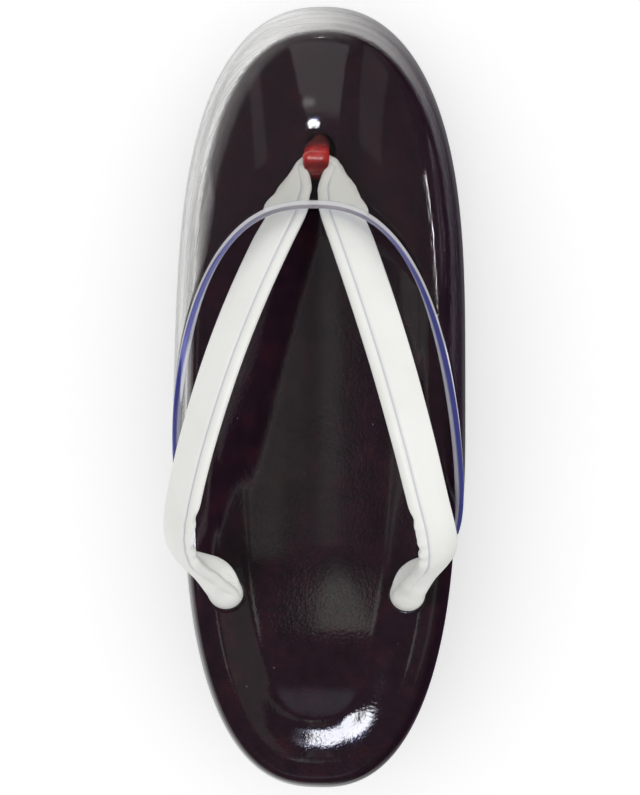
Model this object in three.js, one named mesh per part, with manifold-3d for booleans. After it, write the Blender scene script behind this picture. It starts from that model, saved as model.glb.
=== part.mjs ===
// Rain zori: a wedge sandal in dark enamel with a white V-strap, a red toe loop and a clear vinyl toe cover.
// Millimetres. +X is right, +Y is towards the toe, +Z is up. The origin is on the floor, under the middle.

import * as THREE from "three";
import { mergeVertices } from "three/addons/utils/BufferGeometryUtils.js";
import Module from "manifold-3d";

const wasm = await Module();
wasm.setup();

// Plan of the platform and of the clear cover, which stands out round it
const HEEL_Y = -125;
const PLATFORM_PLAN = { halfWidth: 43.8, toeY: 118.5 };
const COVER_PLAN = { halfWidth: 46.8, toeY: 124.6 };
const TOE_WAIST_Y = 3;
const HEEL_WAIST_Y = -24;
const TOE_END = { fullness: 3.2, bluntness: 0.44 };
const HEEL_END = { fullness: 2.3, bluntness: 0.4 };
const HALF_PLAN_STEPS = 42;

// Layers of the sole, from the floor up
const GAP = 0.3;
const OUTSOLE_THICKNESS = 5;
const OUTSOLE_LEDGE = 1.5;
const INSOLE_THICKNESS = 10;
const WALL_INSET_AT_FLOOR = 4.5;
const WALL_INSET_AT_TOP = 1;
const WALL_HEIGHT = 46;
const PROFILE_STEP = 4;

// Underside of the outsole: a flat heel, a low arch, a flat forefoot and toe spring
const UNDERSIDE = [
  { y: -127, z: 2.6 },
  { y: -117, z: 0 },
  { y: -46, z: 0 },
  { y: -16, z: 2.2 },
  { y: 12, z: 0 },
  { y: 66, z: 0 },
  { y: 94, z: 2 },
  { y: 120, z: 6.5 },
];
const TREAD = { width: 2.4, depth: 1.4, heelFrom: -108, heelTo: -56, toeFrom: 18, toeTo: 62, pitch: 11 };

// Height of the ridge round the insole, and how far the middle is dished below it
const INSOLE_TOP = [
  { y: -125, z: 47, dish: 0.6 },
  { y: -98, z: 46, dish: 2.2 },
  { y: -65, z: 43.4, dish: 1.6 },
  { y: -30, z: 38.6, dish: 0.9 },
  { y: 0, z: 34.2, dish: 0.8 },
  { y: 30, z: 31.2, dish: 0.8 },
  { y: 60, z: 29.4, dish: 0.8 },
  { y: 90, z: 29, dish: 0.6 },
  { y: 119, z: 30, dish: 0.3 },
];

// Padded edge of the insole, from under the roll to the flat inside the ridge
const INSOLE_EDGE = [
  { inset: 1.7, drop: 10.6 },
  { inset: 0.5, drop: 8.6 },
  { inset: 0, drop: 6.6 },
  { inset: 0.5, drop: 4.5 },
  { inset: 1.7, drop: 2.6 },
  { inset: 3.5, drop: 1.1 },
  { inset: 5.6, drop: 0.25 },
  { inset: 7.6, drop: 0 },
  { inset: 10, drop: 0.15 },
  { inset: 13, drop: 0.45 },
];
const INSOLE_COLUMNS = 8;

// Clear cover: a lasting margin under the platform, a wall that swells out, and a hood up to the lip
const COVER_WALL = 1.6;
const COVER_LIP = 2.2;
const COVER_END_Y = -46.5;
const COVER_FOOT_PLAN = { halfWidth: 43.2, toeY: 119 };
const COVER_MARGIN_PLAN = { halfWidth: 34, toeY: 107 };
const COVER_SEAT_GAP = 0.5;
const COVER_REBATE_GAP = 1.1;
const COVER_TURN = 2.3;
const COVER_SWELL_HEIGHT = 14;
const COVER_SWELL_SHARE = 0.42;
const COVER_FULL_HEIGHT = 34;
const COVER_COLUMNS = 26;
const COVER_ROWS = { turn: 3, wall: 3, hood: 8 };
const COVER_LIP_ROWS = 2;
const LIP = {
  apexY: 57,
  apexZ: 61,
  endZ: 15,
  halfWidth: 46.8,
  fullness: 2.2,
  bluntness: 0.4,
  endTuck: 2.3,
  tuckSpread: 14,
  rise: 2.5,
  roundness: 0.75,
};
const LIP_LEAD = 0.7;
const HOOD_ARC = { side: 0.6, toe: 1.48 };

// Right arm of the strap from the front fold to the rear hole. "faces" is the plan direction of its outer
// edge, "lean" how far its face tips outwards, and "curl" how far it is rolled up, all in degrees.
const STRAP = [
  { x: 0, y: 73.2, z: 38.3, width: 9, thick: 4.6, faces: 90, lean: 62, curl: 0 },
  { x: 3.6, y: 72.8, z: 38.4, width: 9.4, thick: 4.6, faces: 70, lean: 66, curl: 0 },
  { x: 5.9, y: 70.2, z: 39.2, width: 10.6, thick: 4.8, faces: 28, lean: 72, curl: 0 },
  { x: 6.2, y: 66.6, z: 41.3, width: 12.8, thick: 5, faces: 8, lean: 60, curl: 0 },
  { x: 6.7, y: 62, z: 44.9, width: 14.4, thick: 5, faces: 13, lean: 45, curl: 0 },
  { x: 8.6, y: 55.4, z: 50, width: 15, thick: 5, faces: 19, lean: 37, curl: 0 },
  { x: 12.3, y: 46, z: 57, width: 15, thick: 5, faces: 20, lean: 34, curl: 0 },
  { x: 19.2, y: 27, z: 68, width: 15, thick: 5, faces: 19, lean: 35, curl: 0 },
  { x: 25.4, y: 8, z: 75.2, width: 15, thick: 5, faces: 17, lean: 37, curl: 0 },
  { x: 31.6, y: -14, z: 79.6, width: 15, thick: 5, faces: 14, lean: 40, curl: 0 },
  { x: 35.6, y: -30, z: 79.4, width: 15, thick: 5, faces: 10, lean: 43, curl: 4 },
  { x: 38, y: -40, z: 75.4, width: 15.2, thick: 5, faces: 2, lean: 53, curl: 14 },
  { x: 39.6, y: -48, z: 66.6, width: 15.2, thick: 4.8, faces: -12, lean: 76, curl: 74 },
  { x: 39, y: -52.5, z: 59, width: 15.2, thick: 4.6, faces: -22, lean: 98, curl: 140 },
  { x: 36.9, y: -56.4, z: 53, width: 15, thick: 4.5, faces: -29, lean: 112, curl: 188 },
  { x: 33.9, y: -61, z: 47.8, width: 14.4, thick: 4.3, faces: -35, lean: 122, curl: 222 },
  { x: 32, y: -63.8, z: 43.4, width: 13.4, thick: 4.1, faces: -40, lean: 127, curl: 240 },
  { x: 31.6, y: -64.4, z: 38.8, width: 12.6, thick: 4, faces: -42, lean: 128, curl: 240 },
  { x: 31.6, y: -64.4, z: 33.9, width: 12.6, thick: 4, faces: -42, lean: 128, curl: 240 },
];
const STRAP_STEPS_PER_ROW = 2;
const STRAP_FACE_POINTS = 5;
const STRAP_EDGE_POINTS = 3;
const STRAP_CROWN = 0.28;
const STRAP_END_ROW = STRAP.length - 1;
const REAR_HOLE = { margin: 0.9, roundness: 1.16 };

// Red loop round the front fold: it bends over the fold's upper edge, and both legs end in the front hole
const LOOP_THICK = 2.4;
const LOOP_LEGS = {
  front: [
    { y: 81.2, z: 19.6, width: 5.8 },
    { y: 81.6, z: 26.6, width: 6.4 },
    { y: 81, z: 31, width: 7.4 },
    { y: 78.9, z: 35.8, width: 8 },
  ],
  back: [
    { y: 70.4, z: 34.8, width: 4.8 },
    { y: 73.6, z: 31, width: 4.8 },
    { y: 76.2, z: 27.6, width: 5 },
    { y: 77, z: 23.6, width: 5.4 },
    { y: 77.2, z: 19.6, width: 5.8 },
  ],
};
const LOOP_BEND_WIDTHS = [8, 7.8, 7.4, 6.6, 5.8, 5.2, 4.8];
const LOOP_STEPS = 30;
const LOOP_CORNER_SHARE = 0.7;
const LOOP_CROWN = 1.08;
const FRONT_HOLE = { y: 79.2, radius: 5.3 };
const HOLE_SIDES = 24;

const ENAMEL = new THREE.MeshStandardMaterial({ color: 0x1a0a10, roughness: 0.12, metalness: 0 });
const MATERIALS = {
  outsole: new THREE.MeshStandardMaterial({ color: 0x17161a, roughness: 0.75, metalness: 0 }),
  platform: ENAMEL.clone(),
  insole: ENAMEL.clone(),
  toe_cover: new THREE.MeshStandardMaterial({
    color: 0xd6dcf2,
    roughness: 0.08,
    metalness: 0,
    transparent: true,
    opacity: 0.35,
  }),
  strap: new THREE.MeshStandardMaterial({ color: 0xe8e7e4, roughness: 0.45, metalness: 0 }),
  toe_thong: new THREE.MeshStandardMaterial({ color: 0x9c1414, roughness: 0.2, metalness: 0 }),
};

// A value from a table whose rows run along `by`, with smooth joins and level stretches kept level
function fromTable(rows, column, at, by = "y") {
  const last = rows.length - 1;
  const rate = (i) => (rows[i + 1][column] - rows[i][column]) / (rows[i + 1][by] - rows[i][by]);
  const slope = (i) => {
    if (i === 0 || i === last) return rate(Math.min(i, last - 1));
    const before = rate(i - 1);
    const after = rate(i);
    return before * after <= 0 ? 0 : (2 * before * after) / (before + after);
  };
  const place = THREE.MathUtils.clamp(at, rows[0][by], rows[last][by]);
  let i = 0;
  while (i < last - 1 && rows[i + 1][by] < place) i += 1;
  const span = rows[i + 1][by] - rows[i][by];
  const t = (place - rows[i][by]) / span;
  const rest = 1 - t;
  return (
    rows[i][column] * (1 + 2 * t) * rest * rest +
    rows[i + 1][column] * t * t * (3 - 2 * t) +
    span * t * rest * (slope(i) * rest - slope(i + 1) * t)
  );
}

// Triangles collected one by one and merged into a closed geometry
function surface() {
  const corners = [];
  const triangle = (a, b, c) => corners.push(...a, ...b, ...c);
  return {
    triangle,
    quad(a, b, c, d) {
      triangle(a, b, c);
      triangle(a, c, d);
    },
    geometry() {
      const geometry = new THREE.BufferGeometry();
      geometry.setAttribute("position", new THREE.Float32BufferAttribute(corners, 3));
      return mergeVertices(geometry, 1e-4);
    },
  };
}

// A closed tube through rings of equal count, wound so that faces point outwards
function tube(rings) {
  const skin = surface();
  const count = rings[0].length;
  for (let r = 0; r + 1 < rings.length; r += 1) {
    for (let i = 0; i < count; i += 1) {
      const j = (i + 1) % count;
      skin.quad(rings[r][i], rings[r][j], rings[r + 1][j], rings[r + 1][i]);
    }
  }
  const middle = (ring) => [0, 1, 2].map((axis) => ring.reduce((sum, p) => sum + p[axis], 0) / count);
  const first = rings[0];
  const last = rings[rings.length - 1];
  for (let i = 0; i < count; i += 1) {
    const j = (i + 1) % count;
    skin.triangle(middle(first), first[j], first[i]);
    skin.triangle(middle(last), last[i], last[j]);
  }
  return skin.geometry();
}

function solid(geometry) {
  const plain = new THREE.BufferGeometry();
  plain.setAttribute("position", geometry.getAttribute("position"));
  plain.setIndex(geometry.getIndex());
  const merged = mergeVertices(plain, 1e-4);
  return new wasm.Manifold(
    new wasm.Mesh({
      numProp: 3,
      vertProperties: Float32Array.from(merged.getAttribute("position").array),
      triVerts: Uint32Array.from(merged.getIndex().array),
    }),
  );
}

function geometryOf(body) {
  const mesh = body.getMesh();
  const geometry = new THREE.BufferGeometry();
  geometry.setAttribute("position", new THREE.BufferAttribute(mesh.vertProperties, 3));
  geometry.setIndex(new THREE.BufferAttribute(mesh.triVerts, 1));
  return geometry;
}

// Half of a plan outline, from a place on its right side to the middle of the toe
function endCurve(t, { fullness, bluntness }) {
  return Math.pow(Math.max(0, 1 - Math.pow(t, fullness)), bluntness);
}

function halfPlan({ halfWidth, toeY }, fromY) {
  const points = [];
  const fineSteps = 240;
  const heelReach = HEEL_WAIST_Y - HEEL_Y;
  const start = Math.asin(Math.min(1, (HEEL_WAIST_Y - fromY) / heelReach));
  for (let i = 0; i <= fineSteps; i += 1) {
    const t = Math.sin(start * (1 - i / fineSteps));
    points.push(new THREE.Vector2(halfWidth * endCurve(t, HEEL_END), HEEL_WAIST_Y - heelReach * t));
  }
  for (let i = 0; i <= fineSteps; i += 1) {
    const t = Math.sin(((Math.PI / 2) * i) / fineSteps);
    points.push(new THREE.Vector2(halfWidth * endCurve(t, TOE_END), TOE_WAIST_Y + (toeY - TOE_WAIST_Y) * t));
  }
  const curve = new THREE.SplineCurve(points);
  curve.arcLengthDivisions = 4 * fineSteps;
  return curve;
}

// Whole plan outline as a ring from the heel up the right side to the toe and back down the left side
function planRing(plan) {
  const right = halfPlan(plan, HEEL_Y).getSpacedPoints(HALF_PLAN_STEPS);
  right[0].x = 0;
  right[HALF_PLAN_STEPS].x = 0;
  const left = right.slice(1, HALF_PLAN_STEPS).reverse();
  return [...right, ...left.map((p) => new THREE.Vector2(-p.x, p.y))];
}

function insetRing(ring, inset) {
  const count = ring.length;
  return ring.map((p, i) => {
    const along = ring[(i + 1) % count].clone().sub(ring[(i + count - 1) % count]);
    along.normalize();
    return new THREE.Vector2(p.x - along.y * inset, p.y + along.x * inset);
  });
}

const PLATFORM_RING = planRing(PLATFORM_PLAN);

// The sole's tapering side wall, as a tall block that the layers are cut from
function wallBlock(ledge) {
  const inset = (z) => {
    const share = z / WALL_HEIGHT;
    return THREE.MathUtils.lerp(WALL_INSET_AT_FLOOR, WALL_INSET_AT_TOP, share) - ledge;
  };
  const levels = [-WALL_HEIGHT / 4, (WALL_HEIGHT * 5) / 4];
  return solid(
    tube(levels.map((z) => insetRing(PLATFORM_RING, inset(z)).map((p) => [p.x, p.y, z]))),
  );
}

// A slab across the whole width between two height profiles
function slab(below, above, fromY = HEEL_Y - 5, toY = COVER_PLAN.toeY + 5) {
  const steps = Math.round((toY - fromY) / PROFILE_STEP);
  const places = Array.from({ length: steps + 1 }, (_, i) => fromY + ((toY - fromY) * i) / steps);
  const profile = new THREE.Shape([
    ...places.map((y) => new THREE.Vector2(y, below(y))),
    ...places.toReversed().map((y) => new THREE.Vector2(y, above(y))),
  ]);
  const reach = 2 * COVER_PLAN.halfWidth;
  const geometry = new THREE.ExtrudeGeometry(profile, { depth: reach, bevelEnabled: false });
  const sideways = new THREE.Matrix4().makeBasis(
    new THREE.Vector3(0, 1, 0),
    new THREE.Vector3(0, 0, 1),
    new THREE.Vector3(1, 0, 0),
  );
  geometry.translate(0, 0, -reach / 2).applyMatrix4(sideways);
  return solid(geometry);
}

const underside = (y) => fromTable(UNDERSIDE, "z", y);
const outsoleTop = (y) => underside(y) + OUTSOLE_THICKNESS;
const insoleTop = (y) => fromTable(INSOLE_TOP, "z", y);
const insoleUnder = (y) => insoleTop(y) - INSOLE_THICKNESS;
const farAbove = () => 2 * WALL_HEIGHT;

// Outsole with straight grooves across the heel and the forefoot
function makeOutsole() {
  let body = wallBlock(OUTSOLE_LEDGE).intersect(slab(underside, outsoleTop));
  const cutGrooves = (from, to) => {
    for (let y = from; y <= to; y += TREAD.pitch) {
      const groove = new THREE.BoxGeometry(3 * COVER_PLAN.halfWidth, TREAD.width, 2 * TREAD.depth);
      body = body.subtract(solid(groove.translate(0, y, 0)));
    }
  };
  cutGrooves(TREAD.heelFrom, TREAD.heelTo);
  cutGrooves(TREAD.toeFrom, TREAD.toeTo);
  return geometryOf(body);
}

// Wedge core with a rebate round its front half, where the cover's lasting margin is turned in
function makePlatform() {
  const body = wallBlock(0).intersect(slab((y) => outsoleTop(y) + GAP, (y) => insoleUnder(y) - GAP));
  const marginTop = (y) => outsoleTop(y) + COVER_WALL + COVER_REBATE_GAP;
  const layer = slab((y) => outsoleTop(y) - GAP, marginTop, COVER_END_Y - 1);
  const coreRing = insetRing(planRing(COVER_MARGIN_PLAN), 2 * GAP);
  const core = tube([-WALL_HEIGHT, 2 * WALL_HEIGHT].map((z) => coreRing.map((p) => [p.x, p.y, z])));
  return geometryOf(body.subtract(layer.subtract(solid(core))));
}

// Padded top: a rolled edge from the table, then rows across the dished middle
function paddedTop() {
  const skin = surface();
  const ringAt = ({ inset, drop }) =>
    insetRing(PLATFORM_RING, inset).map((p) => [p.x, p.y, insoleTop(p.y) - drop]);
  const rings = INSOLE_EDGE.map(ringAt);
  const count = PLATFORM_RING.length;
  const foot = rings[0].map(([x, y]) => [x, y, 0]);
  rings.forEach((upper, r) => {
    const lower = r === 0 ? foot : rings[r - 1];
    for (let i = 0; i < count; i += 1) {
      const j = (i + 1) % count;
      skin.quad(lower[i], lower[j], upper[j], upper[i]);
    }
  });
  const rowAt = (i, ring, dished) => {
    const [x, y, z] = ring[i];
    return Array.from({ length: INSOLE_COLUMNS + 1 }, (_, c) => {
      const across = 1 - (2 * c) / INSOLE_COLUMNS;
      const dish = dished ? fromTable(INSOLE_TOP, "dish", y) * (1 - across * across) : 0;
      return [x * across, y, z - dish];
    });
  };
  const fill = (ring, dished, faceUp) => {
    const face = (a, b, c) => (faceUp ? skin.triangle(a, b, c) : skin.triangle(a, c, b));
    let before = null;
    for (let i = 1; i < HALF_PLAN_STEPS; i += 1) {
      const row = rowAt(i, ring, dished);
      for (let c = 0; c < INSOLE_COLUMNS; c += 1) {
        if (before) {
          face(before[c], row[c], row[c + 1]);
          face(before[c], row[c + 1], before[c + 1]);
        } else {
          face(ring[0], row[c], row[c + 1]);
        }
        if (i === HALF_PLAN_STEPS - 1) face(row[c], ring[HALF_PLAN_STEPS], row[c + 1]);
      }
      before = row;
    }
  };
  fill(rings[rings.length - 1], true, true);
  fill(foot, false, false);
  return solid(skin.geometry());
}

// An upright hole with an elliptical section
function hole(x, y, turn, acrossRadius, alongRadius) {
  const rings = [0, 2 * WALL_HEIGHT].map((z) =>
    Array.from({ length: HOLE_SIDES }, (_, i) => {
      const angle = (2 * Math.PI * i) / HOLE_SIDES;
      const p = new THREE.Vector2(acrossRadius * Math.cos(angle), alongRadius * Math.sin(angle));
      p.rotateAround(new THREE.Vector2(), turn);
      return [x + p.x, y + p.y, z];
    }),
  );
  return solid(tube(rings));
}

function makeInsole() {
  let body = paddedTop().intersect(slab(insoleUnder, farAbove));
  body = body.subtract(hole(0, FRONT_HOLE.y, 0, FRONT_HOLE.radius, FRONT_HOLE.radius));
  for (const side of [1, -1]) body = body.subtract(rearHole(side));
  return geometryOf(body);
}

// The clear cover's outer surface: columns run round the toe, rows run up from the margin to the lip
function lipCurve() {
  const points = [];
  const fineSteps = 160;
  for (let i = 0; i <= fineSteps; i += 1) {
    const t = Math.sin(((Math.PI / 2) * i) / fineSteps);
    const lift = Math.pow(1 - Math.pow(1 - t, LIP.rise), LIP.roundness);
    points.push(
      new THREE.Vector3(
        LIP.halfWidth * endCurve(t, LIP) - LIP.endTuck * Math.pow(1 - t, LIP.tuckSpread),
        COVER_END_Y + (LIP.apexY - COVER_END_Y) * t,
        LIP.endZ + (LIP.apexZ - LIP.endZ) * lift,
      ),
    );
  }
  const curve = new THREE.CatmullRomCurve3(points);
  curve.arcLengthDivisions = 4 * fineSteps;
  return curve;
}

function coverColumns() {
  const [margin, foot, swell] = [COVER_MARGIN_PLAN, COVER_FOOT_PLAN, COVER_PLAN].map((plan) =>
    halfPlan(plan, COVER_END_Y),
  );
  const lip = lipCurve();
  const onSeat = (p) => new THREE.Vector3(p.x, p.y, outsoleTop(p.y) + COVER_SEAT_GAP);
  const columnAt = (q) => {
    const marginPoint = onSeat(margin.getPointAt(q));
    const footPoint = onSeat(foot.getPointAt(q));
    const lipPoint = lip.getPointAt(Math.pow(q, LIP_LEAD));
    const rows = [marginPoint];
    const inward = marginPoint.clone().sub(footPoint).setZ(0).normalize();
    for (let i = 0; i < COVER_ROWS.turn; i += 1) {
      const angle = ((Math.PI / 2) * i) / COVER_ROWS.turn;
      const p = footPoint.clone().addScaledVector(inward, COVER_TURN * (1 - Math.sin(angle)));
      rows.push(p.setZ(footPoint.z + COVER_TURN * (1 - Math.cos(angle))));
    }
    const wallFoot = footPoint.clone().setZ(footPoint.z + COVER_TURN);
    const height = lipPoint.z - wallFoot.z;
    const share = THREE.MathUtils.smoothstep(height, 0, COVER_FULL_HEIGHT);
    const swellPlan = swell.getPointAt(q);
    const swellPoint = new THREE.Vector3(swellPlan.x, swellPlan.y, 0);
    swellPoint.lerpVectors(wallFoot.clone().lerp(lipPoint, 0.5), swellPoint, share);
    swellPoint.z = wallFoot.z + Math.min(COVER_SWELL_HEIGHT, COVER_SWELL_SHARE * height);
    for (let i = 0; i < COVER_ROWS.wall; i += 1) {
      const t = i / COVER_ROWS.wall;
      const p = wallFoot.clone().lerp(swellPoint, THREE.MathUtils.smoothstep(t, 0, 1));
      rows.push(p.setZ(THREE.MathUtils.lerp(wallFoot.z, swellPoint.z, t)));
    }
    const arc = THREE.MathUtils.lerp(HOOD_ARC.side, HOOD_ARC.toe, THREE.MathUtils.smoothstep(q, 0, 1));
    for (let i = 0; i <= COVER_ROWS.hood; i += 1) {
      const angle = (arc * i) / COVER_ROWS.hood;
      const p = swellPoint.clone().lerp(lipPoint, (1 - Math.cos(angle)) / (1 - Math.cos(arc)));
      rows.push(p.setZ(THREE.MathUtils.lerp(swellPoint.z, lipPoint.z, Math.sin(angle) / Math.sin(arc))));
    }
    return rows;
  };
  const right = Array.from({ length: COVER_COLUMNS + 1 }, (_, i) => columnAt(i / COVER_COLUMNS));
  for (const p of right[COVER_COLUMNS]) p.x = 0;
  const left = right.slice(0, COVER_COLUMNS).reverse();
  return [...right, ...left.map((column) => column.map((p) => new THREE.Vector3(-p.x, p.y, p.z)))];
}

// Gives a grid of points a wall on its inner side, and closes the four edges
function makeToeCover() {
  const outer = coverColumns();
  const [lastColumn, lastRow] = [outer.length - 1, outer[0].length - 1];
  const inner = outer.map((column, c) =>
    column.map((p, r) => {
      const across = outer[Math.min(c + 1, lastColumn)][r].clone();
      across.sub(outer[Math.max(c - 1, 0)][r]);
      const up = column[Math.min(r + 1, lastRow)].clone().sub(column[Math.max(r - 1, 0)]);
      const inward = up.cross(across).normalize();
      const lip = THREE.MathUtils.smoothstep(r, lastRow - COVER_LIP_ROWS, lastRow);
      return p.clone().addScaledVector(inward, THREE.MathUtils.lerp(COVER_WALL, COVER_LIP, lip));
    }),
  );
  const skin = surface();
  const sides = [outer, inner].map((grid) => grid.map((column) => column.map((p) => p.toArray())));
  const [out, back] = sides;
  for (let c = 0; c < lastColumn; c += 1) {
    for (let r = 0; r < lastRow; r += 1) {
      skin.quad(out[c][r], out[c + 1][r], out[c + 1][r + 1], out[c][r + 1]);
      skin.quad(back[c][r], back[c][r + 1], back[c + 1][r + 1], back[c + 1][r]);
    }
    skin.quad(out[c][0], back[c][0], back[c + 1][0], out[c + 1][0]);
    skin.quad(out[c][lastRow], out[c + 1][lastRow], back[c + 1][lastRow], back[c][lastRow]);
  }
  for (let r = 0; r < lastRow; r += 1) {
    skin.quad(out[0][r], out[0][r + 1], back[0][r + 1], back[0][r]);
    skin.quad(out[lastColumn][r], back[lastColumn][r], back[lastColumn][r + 1], out[lastColumn][r + 1]);
  }
  return skin.geometry();
}

// Section of the strap: a padded band, thinner at its edges, bent to an arc where it curls
function strapSection({ width, thick, curl }) {
  const bend = THREE.MathUtils.degToRad(curl);
  const flatHalf = (width - thick) / 2;
  const onBand = (s, height) => {
    if (bend < 1e-3) return new THREE.Vector2(s, height);
    const radius = width / bend;
    const angle = s / radius;
    const reach = radius + height;
    return new THREE.Vector2(reach * Math.sin(angle), reach * Math.cos(angle) - radius);
  };
  const halfThick = (s) => (thick / 2) * (1 - STRAP_CROWN * Math.pow(s / flatHalf, 2));
  const points = [];
  for (const face of [1, -1]) {
    for (let i = 0; i < STRAP_FACE_POINTS; i += 1) {
      const s = face * flatHalf * ((2 * i) / (STRAP_FACE_POINTS - 1) - 1);
      points.push(onBand(s, face * halfThick(s)));
    }
    const edge = halfThick(flatHalf);
    for (let i = 1; i <= STRAP_EDGE_POINTS; i += 1) {
      const angle = (Math.PI * i) / (STRAP_EDGE_POINTS + 1);
      const s = face * (flatHalf + (thick / 2) * Math.sin(angle));
      points.push(onBand(s, face * edge * Math.cos(angle)));
    }
  }
  return points;
}

// The strap's sections in place, for one side of the foot
function strapRow(at) {
  const columns = ["x", "y", "z", "width", "thick", "faces", "lean", "curl"];
  const rows = STRAP.map((row, index) => ({ ...row, index }));
  return Object.fromEntries(columns.map((name) => [name, fromTable(rows, name, at, "index")]));
}

const STRAP_PATH = new THREE.CatmullRomCurve3(
  STRAP.map(({ x, y, z }) => new THREE.Vector3(x, y, z)),
  false,
  "centripetal",
);

function strapRing(at, side) {
  const row = strapRow(at);
  const centre = STRAP_PATH.getPoint(at / STRAP_END_ROW);
  const along = STRAP_PATH.getTangent(at / STRAP_END_ROW);
  if (at === 0) along.set(1, 0, 0);
  const faces = THREE.MathUtils.degToRad(row.faces);
  const outward = new THREE.Vector3(Math.cos(faces), Math.sin(faces), 0);
  outward.addScaledVector(along, -outward.dot(along)).normalize();
  const up = along.clone().cross(outward);
  const lean = THREE.MathUtils.degToRad(row.lean);
  const normal = up.clone().multiplyScalar(Math.cos(lean)).addScaledVector(outward, Math.sin(lean));
  const breadth = outward.clone().multiplyScalar(Math.cos(lean)).addScaledVector(up, -Math.sin(lean));
  const ring = strapSection(row).map((p) => {
    const place = centre.clone().addScaledVector(breadth, p.x).addScaledVector(normal, p.y);
    return [side * place.x, place.y, place.z];
  });
  return ring.reverse();
}

function makeStrap() {
  const steps = STRAP_END_ROW * STRAP_STEPS_PER_ROW;
  const stations = Array.from({ length: steps + 1 }, (_, i) => i / STRAP_STEPS_PER_ROW);
  const right = stations.map((at) => strapRing(at, 1));
  const left = stations.slice(1).toReversed().map((at) => strapRing(at, -1));
  return solid(tube([...left, ...right]));
}

function rearHole(side) {
  const end = STRAP[STRAP_END_ROW];
  const ring = strapRing(STRAP_END_ROW, side);
  const turn = THREE.MathUtils.degToRad(side > 0 ? end.faces : 180 - end.faces);
  const flat = ring.map(([x, y]) => new THREE.Vector2(x, y).rotateAround(new THREE.Vector2(), -turn));
  const box = new THREE.Box2().setFromPoints(flat);
  const centre = box.getCenter(new THREE.Vector2()).rotateAround(new THREE.Vector2(), turn);
  const radii = box.getSize(new THREE.Vector2()).multiplyScalar(REAR_HOLE.roundness / 2);
  return hole(centre.x, centre.y, turn, radii.x + REAR_HOLE.margin, radii.y + REAR_HOLE.margin);
}

// The red loop, grown by a margin where it is used to press its place into the strap
function makeLoop(margin) {
  const fold = STRAP[0];
  const lean = THREE.MathUtils.degToRad(fold.lean);
  const bendRadius = fold.thick / 2 + GAP + LOOP_THICK / 2;
  const toEdge = fold.width / 2 - fold.thick / 2;
  const bendY = fold.y - toEdge * Math.cos(lean);
  const bendZ = fold.z + toEdge * Math.sin(lean);
  const bend = LOOP_BEND_WIDTHS.map((width, i) => {
    const angle = Math.PI / 2 - lean + (Math.PI * i) / (LOOP_BEND_WIDTHS.length - 1);
    return { y: bendY + bendRadius * Math.cos(angle), z: bendZ + bendRadius * Math.sin(angle), width };
  });
  const rows = [...LOOP_LEGS.front, ...bend, ...LOOP_LEGS.back].map((row, index) => ({ ...row, index }));
  const path = new THREE.CatmullRomCurve3(
    rows.map(({ y, z }) => new THREE.Vector3(0, y, z)),
    false,
    "centripetal",
  );
  const rings = Array.from({ length: LOOP_STEPS + 1 }, (_, i) => {
    const t = i / LOOP_STEPS;
    const centre = path.getPoint(t);
    const along = path.getTangent(t);
    const half = fromTable(rows, "width", t * (rows.length - 1), "index") / 2 + margin;
    const thick = LOOP_THICK / 2 + margin;
    const corner = thick * LOOP_CORNER_SHARE;
    const outline = [
      [half, -thick + corner],
      [half, thick - corner],
      [half - corner, thick],
      [0, thick * LOOP_CROWN],
      [-half + corner, thick],
      [-half, thick - corner],
      [-half, -thick + corner],
      [-half + corner, -thick],
      [half - corner, -thick],
    ];
    return outline.map(([x, out]) => [x, centre.y + along.z * out, centre.z - along.y * out]);
  });
  return solid(tube(rings));
}

const zori = new THREE.Group();
const pieces = {
  outsole: makeOutsole(),
  platform: makePlatform(),
  insole: makeInsole(),
  toe_cover: makeToeCover(),
  strap: geometryOf(makeStrap().subtract(makeLoop(GAP))),
  toe_thong: geometryOf(makeLoop(0)),
};
for (const [name, geometry] of Object.entries(pieces)) {
  const mesh = new THREE.Mesh(geometry, MATERIALS[name]);
  mesh.name = name;
  zori.add(mesh);
}

export default zori;
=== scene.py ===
# Rain zori: a wedge sandal in dark enamel, with a white V-strap, a red toe loop and a clear vinyl toe cover.
# Blender works in metres, and the tables below hold millimetres. +Y is towards the toe and +Z is up.
import math

import bmesh
import bpy
import numpy as np
from mathutils import Matrix, Vector


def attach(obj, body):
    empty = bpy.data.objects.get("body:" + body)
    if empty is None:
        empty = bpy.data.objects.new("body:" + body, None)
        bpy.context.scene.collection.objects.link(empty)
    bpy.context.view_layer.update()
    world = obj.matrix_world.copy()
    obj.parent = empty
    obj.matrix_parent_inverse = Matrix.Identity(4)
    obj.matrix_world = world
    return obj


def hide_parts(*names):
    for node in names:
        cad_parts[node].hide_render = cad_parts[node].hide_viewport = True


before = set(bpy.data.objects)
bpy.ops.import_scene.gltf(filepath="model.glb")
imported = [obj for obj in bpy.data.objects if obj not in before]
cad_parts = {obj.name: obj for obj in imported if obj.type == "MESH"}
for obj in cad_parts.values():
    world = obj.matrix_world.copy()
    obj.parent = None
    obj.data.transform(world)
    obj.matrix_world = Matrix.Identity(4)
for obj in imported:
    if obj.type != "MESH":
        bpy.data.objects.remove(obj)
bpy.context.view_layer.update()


# Outsole
# A black rubber sheet, moulded with straight grooves across the heel and the forefoot and with fine
# sipes between them. It is glued under the wedge, and its edge stands a little proud of the wall.
MM = 0.001
MERGE_DISTANCE = 0.002
SHARP_ANGLE = 50
OUTLINE_FINENESS = 40
HEEL_Y = -125.0
HEEL_WAIST_Y = -24.0
TOE_WAIST_Y = 3.0
HEEL_END = {"fullness": 2.3, "bluntness": 0.40}
TOE_END = {"fullness": 3.2, "bluntness": 0.44}
PLATFORM_PLAN = {"half_width": 43.8, "toe_y": 118.5}
RING_STEPS = 190
WALL_INSET = {"floor": 4.5, "top": 1.0, "height": 46.0}
OUTSOLE_THICKNESS = 5.0
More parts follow.
